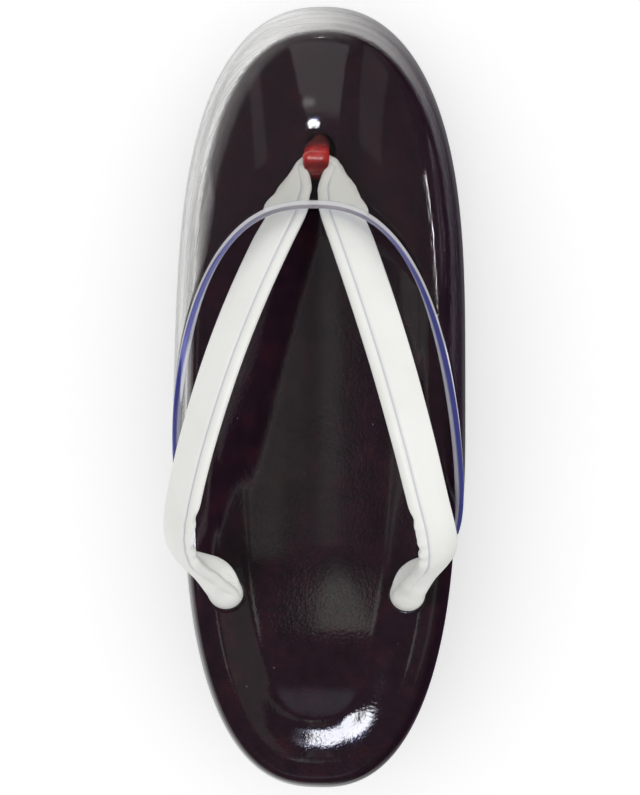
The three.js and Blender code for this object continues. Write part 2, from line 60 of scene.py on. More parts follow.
OUTSOLE_EDGE = [
    {"inset": 0.0, "up": 0.0},
    {"inset": -0.75, "up": 0.22},
    {"inset": -1.2, "up": 0.7},
    {"inset": -1.5, "up": 1.5},
    {"inset": -1.5, "up": 4.1},
    {"inset": -1.3, "up": 4.7},
    {"inset": -0.8, "up": 5.0},
]
UNDERSIDE = [
    {"y": -127, "z": 2.6},
    {"y": -117, "z": 0},
    {"y": -46, "z": 0},
    {"y": -16, "z": 2.2},
    {"y": 12, "z": 0},
    {"y": 66, "z": 0},
    {"y": 94, "z": 2},
    {"y": 120, "z": 6.5},
]
GROOVES = [
    {"name": "heel_grooves", "from_y": -108, "count": 5, "pitch": 11, "width": 2.4, "depth": 1.4},
    {"name": "toe_grooves", "from_y": 18, "count": 5, "pitch": 11, "width": 2.4, "depth": 1.4},
    {"name": "heel_sipes", "from_y": -113.5, "count": 6, "pitch": 11, "width": 0.8, "depth": 0.7},
    {"name": "toe_sipes", "from_y": 12.5, "count": 6, "pitch": 11, "width": 0.8, "depth": 0.7},
]
GROOVE_LENGTH = 3 * PLATFORM_PLAN["half_width"]
RUBBER_TONES = [(0.0, (0.012, 0.011, 0.013)), (1.0, (0.024, 0.022, 0.023))]


def from_table(rows, column, at, by="y"):
    """A column's value along the table, with smooth joins and level stretches kept level."""
    place = np.array([row[by] for row in rows], float)
    value = np.array([row[column] for row in rows], float)
    rate = np.diff(value) / np.diff(place)
    before, after = rate[:-1], rate[1:]
    steady = before * after > 0
    middle = np.where(steady, 2 * before * after / np.where(steady, before + after, 1), 0)
    slope = np.concatenate([rate[:1], middle, rate[-1:]])
    at = np.clip(at, place[0], place[-1])
    i = np.clip(np.searchsorted(place, at) - 1, 0, len(place) - 2)
    span = place[i + 1] - place[i]
    t = (at - place[i]) / span
    rest = 1 - t
    ends = value[i] * (1 + 2 * t) * rest**2 + value[i + 1] * (3 - 2 * t) * t**2
    return ends + span * t * rest * (slope[i] * rest - slope[i + 1] * t)


def half_width(y, plan):
    """Half the width of a plan outline at a place along the foot."""
    toe = np.clip((y - TOE_WAIST_Y) / (plan["toe_y"] - TOE_WAIST_Y), 0, 1)
    heel = np.clip((HEEL_WAIST_Y - y) / (HEEL_WAIST_Y - HEEL_Y), 0, 1)
    at_toe = (1 - toe ** TOE_END["fullness"]) ** TOE_END["bluntness"]
    at_heel = (1 - heel ** HEEL_END["fullness"]) ** HEEL_END["bluntness"]
    return plan["half_width"] * at_toe * at_heel


def along_path(fine, shares):
    """Points of a finely divided path, at shares of its length."""
    length = np.concatenate([[0], np.cumsum(np.linalg.norm(np.diff(fine, axis=0), axis=1))])
    return np.stack([np.interp(shares * length[-1], length, axis) for axis in fine.T], 1)


def half_outline(plan, from_y, steps):
    """Evenly spaced points up the right side of a plan outline, from a place on it to the tip of the toe."""
    middle = (HEEL_Y + plan["toe_y"]) / 2
    reach = (plan["toe_y"] - HEEL_Y) / 2
    start = math.asin(max(-1, (from_y - middle) / reach))
    y = middle + reach * np.sin(np.linspace(start, math.pi / 2, OUTLINE_FINENESS * steps))
    return along_path(np.stack([half_width(y, plan), y], 1), np.linspace(0, 1, steps + 1))


def whole_outline(plan, steps):
    """The outline as a ring, from the heel up the right side to the toe and down the left side."""
    right = half_outline(plan, HEEL_Y, steps)
    right[[0, -1], 0] = 0
    left = right[-2:0:-1] * (-1, 1)
    return np.concatenate([right, left])


def inset_ring(ring, inset):
    """The ring moved inwards along its normals."""
    along = np.roll(ring, -1, axis=0) - np.roll(ring, 1, axis=0)
    along /= np.linalg.norm(along, axis=1, keepdims=True)
    return ring + inset * np.stack([-along[:, 1], along[:, 0]], 1)


def wall_inset(z):
    """How far the sole's tapering wall stands inside the platform's outline at a height."""
    return WALL_INSET["floor"] + (WALL_INSET["top"] - WALL_INSET["floor"]) * z / WALL_INSET["height"]


def ring_faces(count, first, second):
    """Quads between two rings of equal count, given the numbers of their first points."""
    here = np.arange(count)
    after = (here + 1) % count
    return np.stack([first + here, first + after, second + after, second + here], 1).tolist()


def stack_faces(count, levels):
    """Quads between the rings of a stack, from its first ring to its last."""
    faces = []
    for level in range(1, levels):
        faces += ring_faces(count, (level - 1) * count, level * count)
    return faces


def cross_faces(count, first):
    """Quads straight across a ring that is the same on its left and right sides."""
    half = count // 2
    faces = [(first, first + 1, first + count - 1), (first + half - 1, first + half, first + half + 1)]
    for i in range(1, half - 1):
        faces.append((first + i, first + i + 1, first + count - i - 1, first + count - i))
    return faces


def new_piece(name, points, faces, sharp_angle=SHARP_ANGLE):
    """A mesh object from points in millimetres, merged, turned outwards and shaded smooth."""
    mesh = bpy.data.meshes.new(name)
    mesh.from_pydata((np.asarray(points, float) * MM).tolist(), [], [tuple(face) for face in faces])
    shell = bmesh.new()
    shell.from_mesh(mesh)
    bmesh.ops.remove_doubles(shell, verts=shell.verts, dist=MERGE_DISTANCE * MM)
    bmesh.ops.recalc_face_normals(shell, faces=shell.faces)
    shell.to_mesh(mesh)
    shell.free()
    mesh.shade_smooth()
    mesh.set_sharp_from_angle(angle=math.radians(sharp_angle))
    piece = bpy.data.objects.new(name, mesh)
    bpy.context.scene.collection.objects.link(piece)
    return piece


def closed_stack(name, rings):
    """A piece from rings that stand on one another, closed straight across at its foot and its head."""
    count = len(rings[0])
    faces = stack_faces(count, len(rings))
    faces += cross_faces(count, 0)
    faces += cross_faces(count, (len(rings) - 1) * count)
    return new_piece(name, np.concatenate(rings), faces)


def baked(piece):
    """The piece's mesh with its modifiers in it, and the modifiers removed."""
    bpy.context.view_layer.update()
    seen = piece.evaluated_get(bpy.context.evaluated_depsgraph_get())
    mesh = bpy.data.meshes.new_from_object(seen)
    piece.modifiers.clear()
    piece.data = mesh
    mesh.name = piece.name
    return piece


def new_material(name, **sockets):
    """A material with its Principled shader, whose plain values are set on the shader's own sockets."""
    material = bpy.data.materials.new(name)
    material.use_nodes = True
    shader = material.node_tree.nodes["Principled BSDF"]
    for socket, value in sockets.items():
        shader.inputs[socket.replace("_", " ")].default_value = value
    return material, material.node_tree, shader


def node(tree, kind, inputs=None, **settings):
    """A node with its settings, and its inputs set to a value or linked from another node's output."""
    made = tree.nodes.new(kind)
    for name, value in settings.items():
        setattr(made, name, value)
    for key, value in (inputs or {}).items():
        if isinstance(value, bpy.types.NodeSocket):
            tree.links.new(value, made.inputs[key])
        else:
            made.inputs[key].default_value = value
    return made


def colour_ramp(tree, value, stops):
    """A ramp from (place, grey or colour) stops."""
    ramp = node(tree, "ShaderNodeValToRGB", {"Fac": value})
    while len(ramp.color_ramp.elements) < len(stops):
        ramp.color_ramp.elements.new(0.5)
    for element, (place, shade) in zip(ramp.color_ramp.elements, stops):
        element.position = place
        element.color = (shade, shade, shade, 1) if isinstance(shade, (int, float)) else (*shade, 1)
    return ramp.outputs["Color"]


def object_place(tree):
    """Object coordinates, which are in metres."""
    return node(tree, "ShaderNodeTexCoord").outputs["Object"]


def noise(tree, place, scale, **inputs):
    """Soft noise between 0 and 1."""
    return node(tree, "ShaderNodeTexNoise", {"Vector": place, "Scale": scale, **inputs}).outputs["Fac"]


def calculated(tree, operation, *values):
    """The result of one Math node."""
    return node(tree, "ShaderNodeMath", dict(enumerate(values)), operation=operation).outputs[0]


def ranged(tree, value, low=0.0, high=1.0, to=(0.0, 1.0), **settings):
    """A value brought from one range into another, and kept within it."""
    inputs = {"Value": value, "From Min": low, "From Max": high, "To Min": to[0], "To Max": to[1]}
    return node(tree, "ShaderNodeMapRange", inputs, **settings).outputs["Result"]


def bumped(tree, height, strength, depth, **inputs):
    """The normal of a surface with bumps, whose depth is in millimetres."""
    inputs = {"Height": height, "Strength": strength, "Distance": depth * MM, **inputs}
    return node(tree, "ShaderNodeBump", inputs).outputs["Normal"]


def feed(tree, shader, **outputs):
    """Links outputs of nodes to the shader's sockets."""
    for socket, output in outputs.items():
        tree.links.new(output, shader.inputs[socket.replace("_", " ")])


def new_group(name, inputs, outputs):
    """A shader group of plain values, with the usual value of each input."""
    group = bpy.data.node_groups.new(name, "ShaderNodeTree")
    for socket, value in inputs.items():
        made = group.interface.new_socket(socket, in_out="INPUT", socket_type="NodeSocketFloat")
        made.default_value = value
    for socket in outputs:
        group.interface.new_socket(socket, in_out="OUTPUT", socket_type="NodeSocketFloat")
    return group, node(group, "NodeGroupInput").outputs


def from_group(tree, group, **inputs):
    """The outputs of a shader group that is placed in a material with its own values."""
    values = {socket.replace("_", " "): value for socket, value in inputs.items()}
    return node(tree, "ShaderNodeGroup", values, node_tree=group).outputs


def dust_group():
    """Shader group: a soft mask of smudges, and one of fine dust specks, over Object coordinates."""
    usual = {"Smudge Scale": 40.0, "Speck Scale": 260.0, "Speck Size": 0.12}
    group, given = new_group("smudges_and_dust", usual, ["Smudge", "Speck"])
    place = object_place(group)
    cloud = noise(group, place, given["Smudge Scale"], Detail=5.0)
    cells = node(group, "ShaderNodeTexVoronoi", {"Vector": place, "Scale": given["Speck Scale"]}).outputs
    near = ranged(group, cells["Distance"], given["Speck Size"], 0.0)
    drawn = node(group, "ShaderNodeSeparateColor", {"Color": cells["Color"]}).outputs["Red"]
    few = calculated(group, "GREATER_THAN", drawn, 0.93)
    smudge = ranged(group, cloud, 0.42, 0.68)
    node(group, "NodeGroupOutput", {"Smudge": smudge, "Speck": calculated(group, "MULTIPLY", near, few)})
    return group


def groove_tree():
    """Geometry Nodes: a row of bars across the sole, used as cutters for grooves and sipes."""
    tree = bpy.data.node_groups.new("groove_cutters", "GeometryNodeTree")
    tree.interface.new_socket("Geometry", in_out="INPUT", socket_type="NodeSocketGeometry")
    for name, kind in (
        ("First Y", "NodeSocketFloat"),
        ("Count", "NodeSocketInt"),
        ("Pitch", "NodeSocketFloat"),
        ("Width", "NodeSocketFloat"),
        ("Depth", "NodeSocketFloat"),
        ("Length", "NodeSocketFloat"),
        ("Rubber", "NodeSocketMaterial"),
    ):
        tree.interface.new_socket(name, in_out="INPUT", socket_type=kind)
    tree.interface.new_socket("Geometry", in_out="OUTPUT", socket_type="NodeSocketGeometry")
    given = node(tree, "NodeGroupInput").outputs
    start = node(tree, "ShaderNodeCombineXYZ", {"Y": given["First Y"]})
    step = node(tree, "ShaderNodeCombineXYZ", {"Y": given["Pitch"]})
    line = node(
        tree,
        "GeometryNodeMeshLine",
        {"Count": given["Count"], "Start Location": start.outputs[0], "Offset": step.outputs[0]},
    )
    twice = calculated(tree, "MULTIPLY", given["Depth"], 2.0)
    size = node(tree, "ShaderNodeCombineXYZ", {"X": given["Length"], "Y": given["Width"], "Z": twice})
    bar = node(tree, "GeometryNodeMeshCube", {"Size": size.outputs[0]})
    bars = node(
        tree,
        "GeometryNodeInstanceOnPoints",
        {"Points": line.outputs["Mesh"], "Instance": bar.outputs["Mesh"]},
    )
    real = node(tree, "GeometryNodeRealizeInstances", {"Geometry": bars.outputs["Instances"]})
    dressed = node(
        tree,
        "GeometryNodeSetMaterial",
        {"Geometry": real.outputs["Geometry"], "Material": given["Rubber"]},
    )
    node(tree, "NodeGroupOutput", {"Geometry": dressed.outputs["Geometry"]})
    return tree


def set_inputs(modifier, values):
    """Sets a Geometry Nodes modifier's inputs through their identifiers, which are found by name."""
    for item in modifier.node_group.interface.items_tree:
        if item.item_type == "SOCKET" and item.in_out == "INPUT" and item.name in values:
            modifier[item.identifier] = values[item.name]


DUST = dust_group()
rubber, rubber_tree, rubber_shader = new_material("sole_rubber", Roughness=0.7, Specular_IOR_Level=0.35)
rubber_smudge = from_group(rubber_tree, DUST, Smudge_Scale=55.0)["Smudge"]
rubber_grain = noise(rubber_tree, object_place(rubber_tree), 2200.0, Detail=3.0)
feed(
    rubber_tree,
    rubber_shader,
    Base_Color=colour_ramp(rubber_tree, rubber_smudge, RUBBER_TONES),
    Normal=bumped(rubber_tree, rubber_grain, strength=0.35, depth=0.06),
)

platform_ring = whole_outline(PLATFORM_PLAN, RING_STEPS)
ring_count = len(platform_ring)
underside = from_table(UNDERSIDE, "z", platform_ring[:, 1])
outsole_rings = []
for row in OUTSOLE_EDGE:
    flat = inset_ring(platform_ring, wall_inset(underside + row["up"])[:, None] + row["inset"])
    outsole_rings.append(np.column_stack([flat, from_table(UNDERSIDE, "z", flat[:, 1]) + row["up"]]))
outsole = closed_stack("outsole_rubber", outsole_rings)
outsole.data.materials.append(rubber)

groove_nodes = groove_tree()
for groove in GROOVES:
    cutter = bpy.data.objects.new(groove["name"], bpy.data.meshes.new(groove["name"]))
    bpy.context.scene.collection.objects.link(cutter)
    row_of_bars = cutter.modifiers.new("grooves", "NODES")
    row_of_bars.node_group = groove_nodes
    set_inputs(
        row_of_bars,
        {
            "First Y": groove["from_y"] * MM,
            "Count": groove["count"],
            "Pitch": groove["pitch"] * MM,
            "Width": groove["width"] * MM,
            "Depth": groove["depth"] * MM,
            "Length": GROOVE_LENGTH * MM,
            "Rubber": rubber,
        },
    )
    baked(cutter)
    cut = outsole.modifiers.new("cut", "BOOLEAN")
    cut.operation = "DIFFERENCE"
    cut.object = cutter
    baked(outsole)
    bpy.data.objects.remove(cutter)
outsole.data.set_sharp_from_angle(angle=math.radians(SHARP_ANGLE))
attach(outsole, "root")
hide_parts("outsole")


# Platform
# The wedge-shaped foam core, wrapped in glossy near-black maroon enamel sheet. Round its front half the
# foot of the wall is cut back, and the clear cover's lasting margin is turned in and glued there.
GAP = 0.3
INSOLE_THICKNESS = 10.0
INSOLE_TOP = [
    {"y": -125, "z": 47},
    {"y": -98, "z": 46},
    {"y": -65, "z": 43.4},
    {"y": -30, "z": 38.6},
    {"y": 0, "z": 34.2},
    {"y": 30, "z": 31.2},
    {"y": 60, "z": 29.4},
    {"y": 90, "z": 29},
    {"y": 119, "z": 30},
]
REBATE = {"from_y": -47.5, "height": 2.7, "inset": 12.4, "shoulder": 0.4}
REAR_FOOT = {"low": 0.5, "high": 1.0}
PLATFORM_WALL = [
    {"share": 0.0, "inset": 0.0},
    {"share": 0.25, "inset": 0.0},
    {"share": 0.5, "inset": -0.15},
    {"share": 0.75, "inset": -0.15},
    {"share": 0.97, "inset": 0.0},
    {"share": 1.0, "inset": 0.8},
]
PLATFORM_PEEL = 0.25
ENAMEL_TONES = [
    (0.3, (0.0065, 0.0026, 0.0044)),
    (0.5, (0.0105, 0.0042, 0.0074)),
    (0.72, (0.021, 0.0055, 0.0085)),
]
DUST_TONE = (0.13, 0.12, 0.12)
HEEL_WEAR = {"from_y": -108, "to_y": -90, "roughens": 2.8}


def mixed(tree, share, first, second):
    """Two values mixed by a share."""
    return node(tree, "ShaderNodeMix", {"Factor": share, "A": first, "B": second}).outputs["Result"]


def mixed_colour(tree, share, first, second):
    """Two colours mixed by a share, each a plain colour or a node's output."""
    first, second = ((*tone, 1) if isinstance(tone, tuple) else tone for tone in (first, second))
    inputs = {"Factor": share, "A": first, "B": second}
    return node(tree, "ShaderNodeMix", inputs, data_type="RGBA").outputs["Result"]


def axes(tree, place):
    """X, Y and Z of a place."""
    return node(tree, "ShaderNodeSeparateXYZ", {"Vector": place}).outputs


def peel_group():
    """Shader group: the orange peel of a coated sheet, as a height, with its fine grain and soft waves."""
    group, given = new_group("orange_peel", {"Peel Scale": 1000.0, "Wave Scale": 90.0}, ["Height"])
    place = object_place(group)
    peel = noise(group, place, given["Peel Scale"], Detail=2.0)
    wave = noise(group, place, given["Wave Scale"], Detail=2.0)
    node(group, "NodeGroupOutput", {"Height": mixed(group, 0.5, peel, wave)})
    return group


ORANGE_PEEL = peel_group()


def enamel_material(name, peel_strength):
    """Near-black maroon enamel sheet: a glossy coat over a dark red-violet base, with peel and smudges."""
    material, tree, shader = new_material(name, Specular_IOR_Level=0.5, Coat_Roughness=0.045, Coat_IOR=1.5)
    dust = from_group(tree, DUST, Smudge_Scale=45.0, Speck_Scale=230.0, Speck_Size=0.07)
    peel = from_group(tree, ORANGE_PEEL)["Height"]
    place = object_place(tree)
    mottle = noise(tree, place, 130.0, Detail=6.0, Roughness=0.7)
    base = colour_ramp(tree, mottle, ENAMEL_TONES)
    worn = ranged(
        tree,
        axes(tree, place)["Y"],
        HEEL_WEAR["from_y"] * MM,
        HEEL_WEAR["to_y"] * MM,
        to=(peel_strength * HEEL_WEAR["roughens"], peel_strength),
    )
    feed(
        tree,
        shader,
        Base_Color=mixed_colour(tree, dust["Speck"], base, DUST_TONE),
        Roughness=ranged(tree, dust["Smudge"], to=(0.065, 0.1)),
        Coat_Weight=ranged(tree, dust["Smudge"], to=(0.55, 0.3)),
        Normal=bumped(tree, peel, worn, depth=0.12),
    )
    return material


def insole_top(y):
    """Height of the ridge round the insole."""
    return from_table(INSOLE_TOP, "z", y)


wall_foot = underside + OUTSOLE_THICKNESS + GAP
wall_head = insole_top(platform_ring[:, 1]) - INSOLE_THICKNESS - GAP
in_front = platform_ring[:, 1] > REBATE["from_y"]
rebate_top = wall_foot + REBATE["height"] - GAP
wall_start = rebate_top + REBATE["shoulder"]


def wall_level(height, inset):
    """One ring of the platform's wall, at a height for each point of the outline."""
    flat = inset_ring(platform_ring, (wall_inset(height) + inset)[:, None])
    return np.column_stack([flat, height])


cut_back = np.where(in_front, REBATE["inset"] - wall_inset(wall_foot), 0)
platform_rings = [
    wall_level(wall_foot, cut_back),
    wall_level(np.where(in_front, rebate_top, wall_foot + REAR_FOOT["low"]), cut_back),
    wall_level(np.where(in_front, rebate_top, wall_foot + REAR_FOOT["high"]), 0),
]
for row in PLATFORM_WALL:
    platform_rings.append(wall_level(wall_start + (wall_head - wall_start) * row["share"], row["inset"]))
platform = closed_stack("platform_wedge", platform_rings)
platform.data.materials.append(enamel_material("platform_enamel", PLATFORM_PEEL))
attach(platform, "root")
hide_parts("platform")


# Insole
# The padded top of the wedge: foam under the same enamel sheet, with a rolled edge, a ridge just inside
# it and a shallow dish. The strap and the loop pull the padding in at the three holes.
INSOLE_EDGE = [
    {"at": 0, "inset": 3.2, "drop": 10.0},
    {"at": 1, "inset": 1.7, "drop": 9.7},
    {"at": 2, "inset": 0.5, "drop": 8.6},
    {"at": 3, "inset": 0, "drop": 6.6},
    {"at": 4, "inset": 0.5, "drop": 4.5},
    {"at": 5, "inset": 1.3, "drop": 2.6},
    {"at": 6, "inset": 2.2, "drop": 1.1},
    {"at": 7, "inset": 3.4, "drop": 0.25},
    {"at": 8, "inset": 4.9, "drop": 0.0},
    {"at": 9, "inset": 8.0, "drop": 0.0},
    {"at": 11, "inset": 12, "drop": 0.17},
    {"at": 14, "inset": 18, "drop": 0.28},
    {"at": 17, "inset": 24, "drop": 0.3},
    {"at": 18, "inset": 27, "drop": 0.3},
]
DISH = {"from": 6.8, "steep_from": 16.6, "steep_to": 17.2, "to": 23.5, "slope": 0.345}
DISH_FINENESS = 500
DISH_SHARE = [
    {"y": -125, "share": 1.0},
    {"y": -104, "share": 1.0},
    {"y": -92, "share": 0.6},
    {"y": -74, "share": 0.36},
    {"y": -45, "share": 0.2},
    {"y": -20, "share": 0.1},
    {"y": 10, "share": 0.04},
    {"y": 119, "share": 0.04},
]
EDGE_STEPS = 5
EDGE_BAND = 9.0
INSOLE_COLUMNS = 30
HOLES = [
    {"x": 0.0, "y": 79.0, "radius": 4.8, "floor": 19.4},
    {"x": 28.4, "y": -64, "radius": 4.4, "floor": 33.6},
    {"x": -28.4, "y": -64, "radius": 4.4, "floor": 33.6},
]
HOLE_LIP = {"width": 0.7, "reach": 1.75, "sink": 0.245, "steepness": 0.3}
HOLE_FINE_REACHES = (7.0, 4.0)
PAD_OVER_FLOOR = 2.0
INSOLE_PEEL = 0.4


def pad_ring(inset):
    """The platform's outline moved inwards, along its normals near the edge and then by shrinking it."""
    flat = inset_ring(platform_ring, min(inset, EDGE_BAND))
    low, high = flat.min(0), flat.max(0)
    shrink = 1 - max(0, inset - EDGE_BAND) * 2 / (high - low)
    return (low + high) / 2 + (flat - (low + high) / 2) * shrink


def smoothstep(value, low, high):
    """0 below the low value and 1 above the high one, with a smooth rise between."""
    t = np.clip((value - low) / (high - low), 0, 1)
    return t * t * (3 - 2 * t)


def dish_depth(inset):
    """How far the dish lies below the ridge: a short steep wall that eases into the dish's floor."""
    at = np.linspace(0, DISH["to"], DISH_FINENESS)
    steep = smoothstep(at, DISH["from"], DISH["steep_from"]) - smoothstep(at, DISH["steep_to"], DISH["to"])
    return np.interp(inset, at, np.cumsum(DISH["slope"] * steep) * (at[1] - at[0]))


edge_at = np.linspace(0, INSOLE_EDGE[-1]["at"], EDGE_STEPS * INSOLE_EDGE[-1]["at"] + 1)
edge_inset = from_table(INSOLE_EDGE, "inset", edge_at, by="at")
edge_drop = from_table(INSOLE_EDGE, "drop", edge_at, by="at")
insole_points = []
for inset, drop in zip(edge_inset, edge_drop):
    flat = pad_ring(inset)
    deep = drop + dish_depth(inset) * from_table(DISH_SHARE, "share", flat[:, 1])
    insole_points += np.column_stack([flat, insole_top(flat[:, 1]) - deep]).tolist()
insole_faces = stack_faces(ring_count, len(edge_at)) + cross_faces(ring_count, 0)

# The dish's floor, row by row across the innermost ring from the heel to the toe
inner_ring = insole_points[-ring_count:]
inner_first = len(insole_points) - ring_count
half_ring = ring_count // 2
across = np.linspace(1, -1, INSOLE_COLUMNS + 1)
row_before = None
for i in range(1, half_ring):
    x, y, z = inner_ring[i]
    row_points = np.column_stack([x * across, np.full(len(across), y), np.full(len(across), z)])
    first = len(insole_points) - 1
    row = [inner_first + i, *range(first + 1, first + INSOLE_COLUMNS), inner_first + ring_count - i]
    insole_points += row_points[1:-1].tolist()
    for c in range(INSOLE_COLUMNS):
        if row_before is None:
            insole_faces.append((inner_first, row[c], row[c + 1]))
        else:
            insole_faces.append((row_before[c], row[c], row[c + 1], row_before[c + 1]))
        if i == half_ring - 1:
            insole_faces.append((row[c], inner_first + half_ring, row[c + 1]))
    row_before = row
insole = new_piece("insole_pad", insole_points, insole_faces, sharp_angle=80)

pad = bmesh.new()
pad.from_mesh(insole.data)


def from_hole(point, hole):
    """How far a point of the pad lies outside a hole's edge in plan, in millimetres."""
    return math.hypot(point.x / MM - hole["x"], point.y / MM - hole["y"]) - hole["radius"]


def on_pad_top(point, hole):
    """True for a point on the top of the pad, and false for one near its underside."""
    return point.z / MM > hole["floor"] + PAD_OVER_FLOOR


for reach in HOLE_FINE_REACHES:
    fine_edges = [
        edge
        for edge in pad.edges
        if any(
            abs(from_hole(vert.co, hole)) < reach and on_pad_top(vert.co, hole)
            for hole in HOLES
            for vert in edge.verts
        )
    ]
    bmesh.ops.subdivide_edges(pad, edges=fine_edges, cuts=1, use_grid_fill=True)
for vert in pad.verts:
    for hole in HOLES:
        beyond = from_hole(vert.co, hole)
        if beyond < HOLE_LIP["reach"] and on_pad_top(vert.co, hole):
            if beyond < -HOLE_LIP["width"]:
                vert.co.z = hole["floor"] * MM
            elif beyond < 0:
                share = (beyond / HOLE_LIP["width"] + 1) ** HOLE_LIP["steepness"]
                vert.co.z = hole["floor"] * (1 - share) * MM + (vert.co.z - HOLE_LIP["sink"] * MM) * share
            else:
                vert.co.z -= HOLE_LIP["sink"] * MM * (1 - beyond / HOLE_LIP["reach"]) ** 2
bmesh.ops.triangulate(pad, faces=[face for face in pad.faces if len(face.verts) > 4])
pad.to_mesh(insole.data)
pad.free()
insole.data.materials.append(enamel_material("insole_enamel", INSOLE_PEEL))
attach(insole, "root")
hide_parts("insole")


# Strap
# The V-strap, padded and covered in white leatherette. A rolled edge runs along the inside of each arm
# behind a pressed seam line, which is painted with a line of painted shade. The underside is painted
# near black as painted shade under the strap, and the rear ends are rolled up into their holes.
STRAP = [
    {"x": 0, "y": 73.2, "z": 38.3, "width": 9, "thick": 4.6, "faces": 90, "lean": 62, "curl": 0},
    {"x": 3.7, "y": 72.6, "z": 38.4, "width": 9, "thick": 4.6, "faces": 64, "lean": 68, "curl": 0},
    {"x": 5.5, "y": 70.3, "z": 39.1, "width": 9.6, "thick": 4.6, "faces": 32, "lean": 70, "curl": 0},
    {"x": 6.9, "y": 66, "z": 41.8, "width": 12.8, "thick": 5, "faces": 17, "lean": 47, "curl": 0},
    {"x": 7.6, "y": 60.4, "z": 46.2, "width": 14.8, "thick": 5, "faces": 17, "lean": 39, "curl": 0},
    {"x": 8.6, "y": 55.4, "z": 50, "width": 15, "thick": 5, "faces": 19, "lean": 37, "curl": 0},
    {"x": 12.3, "y": 46, "z": 57, "width": 15, "thick": 5, "faces": 20, "lean": 34, "curl": 0},
    {"x": 19.2, "y": 27, "z": 68, "width": 15, "thick": 5, "faces": 19, "lean": 35, "curl": 0},
    {"x": 25.4, "y": 8, "z": 75.2, "width": 15, "thick": 5, "faces": 17, "lean": 37, "curl": 0},
    {"x": 31.6, "y": -14, "z": 79.6, "width": 15, "thick": 5, "faces": 14, "lean": 40, "curl": 0},
    {"x": 35.6, "y": -30, "z": 79.4, "width": 15, "thick": 5, "faces": 10, "lean": 43, "curl": 4},
    {"x": 37.9, "y": -40, "z": 75.4, "width": 15.2, "thick": 5, "faces": 2, "lean": 49, "curl": 6},
    {"x": 38.7, "y": -48, "z": 66.6, "width": 15.4, "thick": 4.9, "faces": -12, "lean": 54, "curl": 14},
    {"x": 37.4, "y": -52.5, "z": 59, "width": 15.8, "thick": 4.9, "faces": -24, "lean": 58, "curl": 18},
    {"x": 34.9, "y": -56.4, "z": 53, "width": 16.6, "thick": 5.2, "faces": -34, "lean": 76, "curl": 76},
    {"x": 32, "y": -61, "z": 47.8, "width": 16.8, "thick": 6.2, "faces": -42, "lean": 108, "curl": 184},
    {"x": 30.4, "y": -64, "z": 43.4, "width": 15, "thick": 7.4, "faces": -46, "lean": 130, "curl": 220},
    {"x": 30.2, "y": -64.4, "z": 38.8, "width": 13, "thick": 4.6, "faces": -48, "lean": 136, "curl": 220},
    {"x": 30.2, "y": -64.4, "z": 33.9, "width": 13, "thick": 4.6, "faces": -48, "lean": 136, "curl": 220},
]
STRAP_STEPS = 12
STRAP_CROWN = 0.28
FOLD = {"reach": 0.2, "share": 0.8, "offset": 0.9, "span": 0.8, "steps": 640, "room": 0.85, "straight": 0.001}
END_OVAL = {"from_row": 14.4, "to_row": 15.9, "mouth": 35}
FACE_POINTS = 46
EDGE_POINTS = 9
LINING_POINTS = 16
SEAM = {"from_edge": 2.7, "width": 0.4, "depth": 0.5, "starts_row": 3.6, "fades_row": 12.6}
SEAM_FADES = {"depth": 2, "line": 4}
FAR_FROM_SEAM = 9.0
# Rows where the underside's painted shade fades out towards the rolled rear ends.
UNDERSIDE_SHADE_ROWS = {"fades_row": 12.4, "ends_row": 13.3}
PINCHES = [
    {"row": 10.4, "depth": 0.55, "length": 0.16},
    {"row": 10.85, "depth": 0.8, "length": 0.13},
    {"row": 11.25, "depth": 0.65, "length": 0.12},
    {"row": 11.7, "depth": 0.5, "length": 0.16},
]
PINCH_EDGE = {"past_seam": 3.5, "width": 5.0, "pull": 0.7}
ROUND_SHARP_ANGLE = 85
WHITE_TONES = [(0.0, (0.855, 0.86, 0.825)), (1.0, (0.825, 0.825, 0.785))]
# Painted shade: a bluish grey line painted along the seam's groove.
SEAM_PAINTED_SHADE_TONE = (0.38, 0.41, 0.52)
SEAM_SHADE_LINE = {"from": 0.1, "to": 0.42, "share": 0.55}
# Painted shade: the colour of the strap's underside, standing in for the shade under it.
UNDERSIDE_PAINTED_SHADE_TONE = (0.035, 0.02, 0.028)


def smooth_path(points):
    """Centripetal Catmull-Rom path through points, as a function giving the place and the direction."""
    points = np.asarray(points, float)
    padded = np.vstack([2 * points[0] - points[1], points, 2 * points[-1] - points[-2]])

    def at(row):
        i = min(int(row), len(points) - 2)
        t = row - i
        p0, p1, p2, p3 = padded[i : i + 4]
        d0, d1, d2 = (np.linalg.norm(b - a) ** 0.5 for a, b in ((p0, p1), (p1, p2), (p2, p3)))
        t1 = ((p1 - p0) / d0 - (p2 - p0) / (d0 + d1) + (p2 - p1) / d1) * d1
        t2 = ((p2 - p1) / d1 - (p3 - p1) / (d1 + d2) + (p3 - p2) / d2) * d1
        square = 3 * (p2 - p1) - 2 * t1 - t2
        cube = 2 * (p1 - p2) + t1 + t2
        place = p1 + t1 * t + square * t**2 + cube * t**3
        heading = t1 + 2 * square * t + 3 * cube * t**2
        return place, heading / np.linalg.norm(heading)

    return at


def folded(s, height, width, bend):
    """Points of a flat section laid on a band that turns through an angle, tightest near its middle."""
    s = s + FOLD["offset"] * min(1, bend / math.pi)
    fine = np.linspace(-FOLD["span"] * width, FOLD["span"] * width, FOLD["steps"] + 1)
    loose = fine / width
    tight = 0.5 * np.tanh(fine / (FOLD["reach"] * width))
    angle = bend * ((1 - FOLD["share"]) * loose + FOLD["share"] * tight)
    step = fine[1] - fine[0]
    across = np.cumsum(np.cos(angle)) * step
    drop = -np.cumsum(np.sin(angle)) * step
    across -= np.interp(0, fine, across)
    drop -= np.interp(0, fine, drop)
    turn = np.interp(s, fine, angle)
    turn_rate = np.interp(s, fine, np.gradient(angle, step))
    height = np.maximum(height, -FOLD["room"] / np.maximum(turn_rate, FOLD["straight"]))
    return (
        np.interp(s, fine, across) + height * np.sin(turn),
        np.interp(s, fine, drop) + height * np.cos(turn),
    )


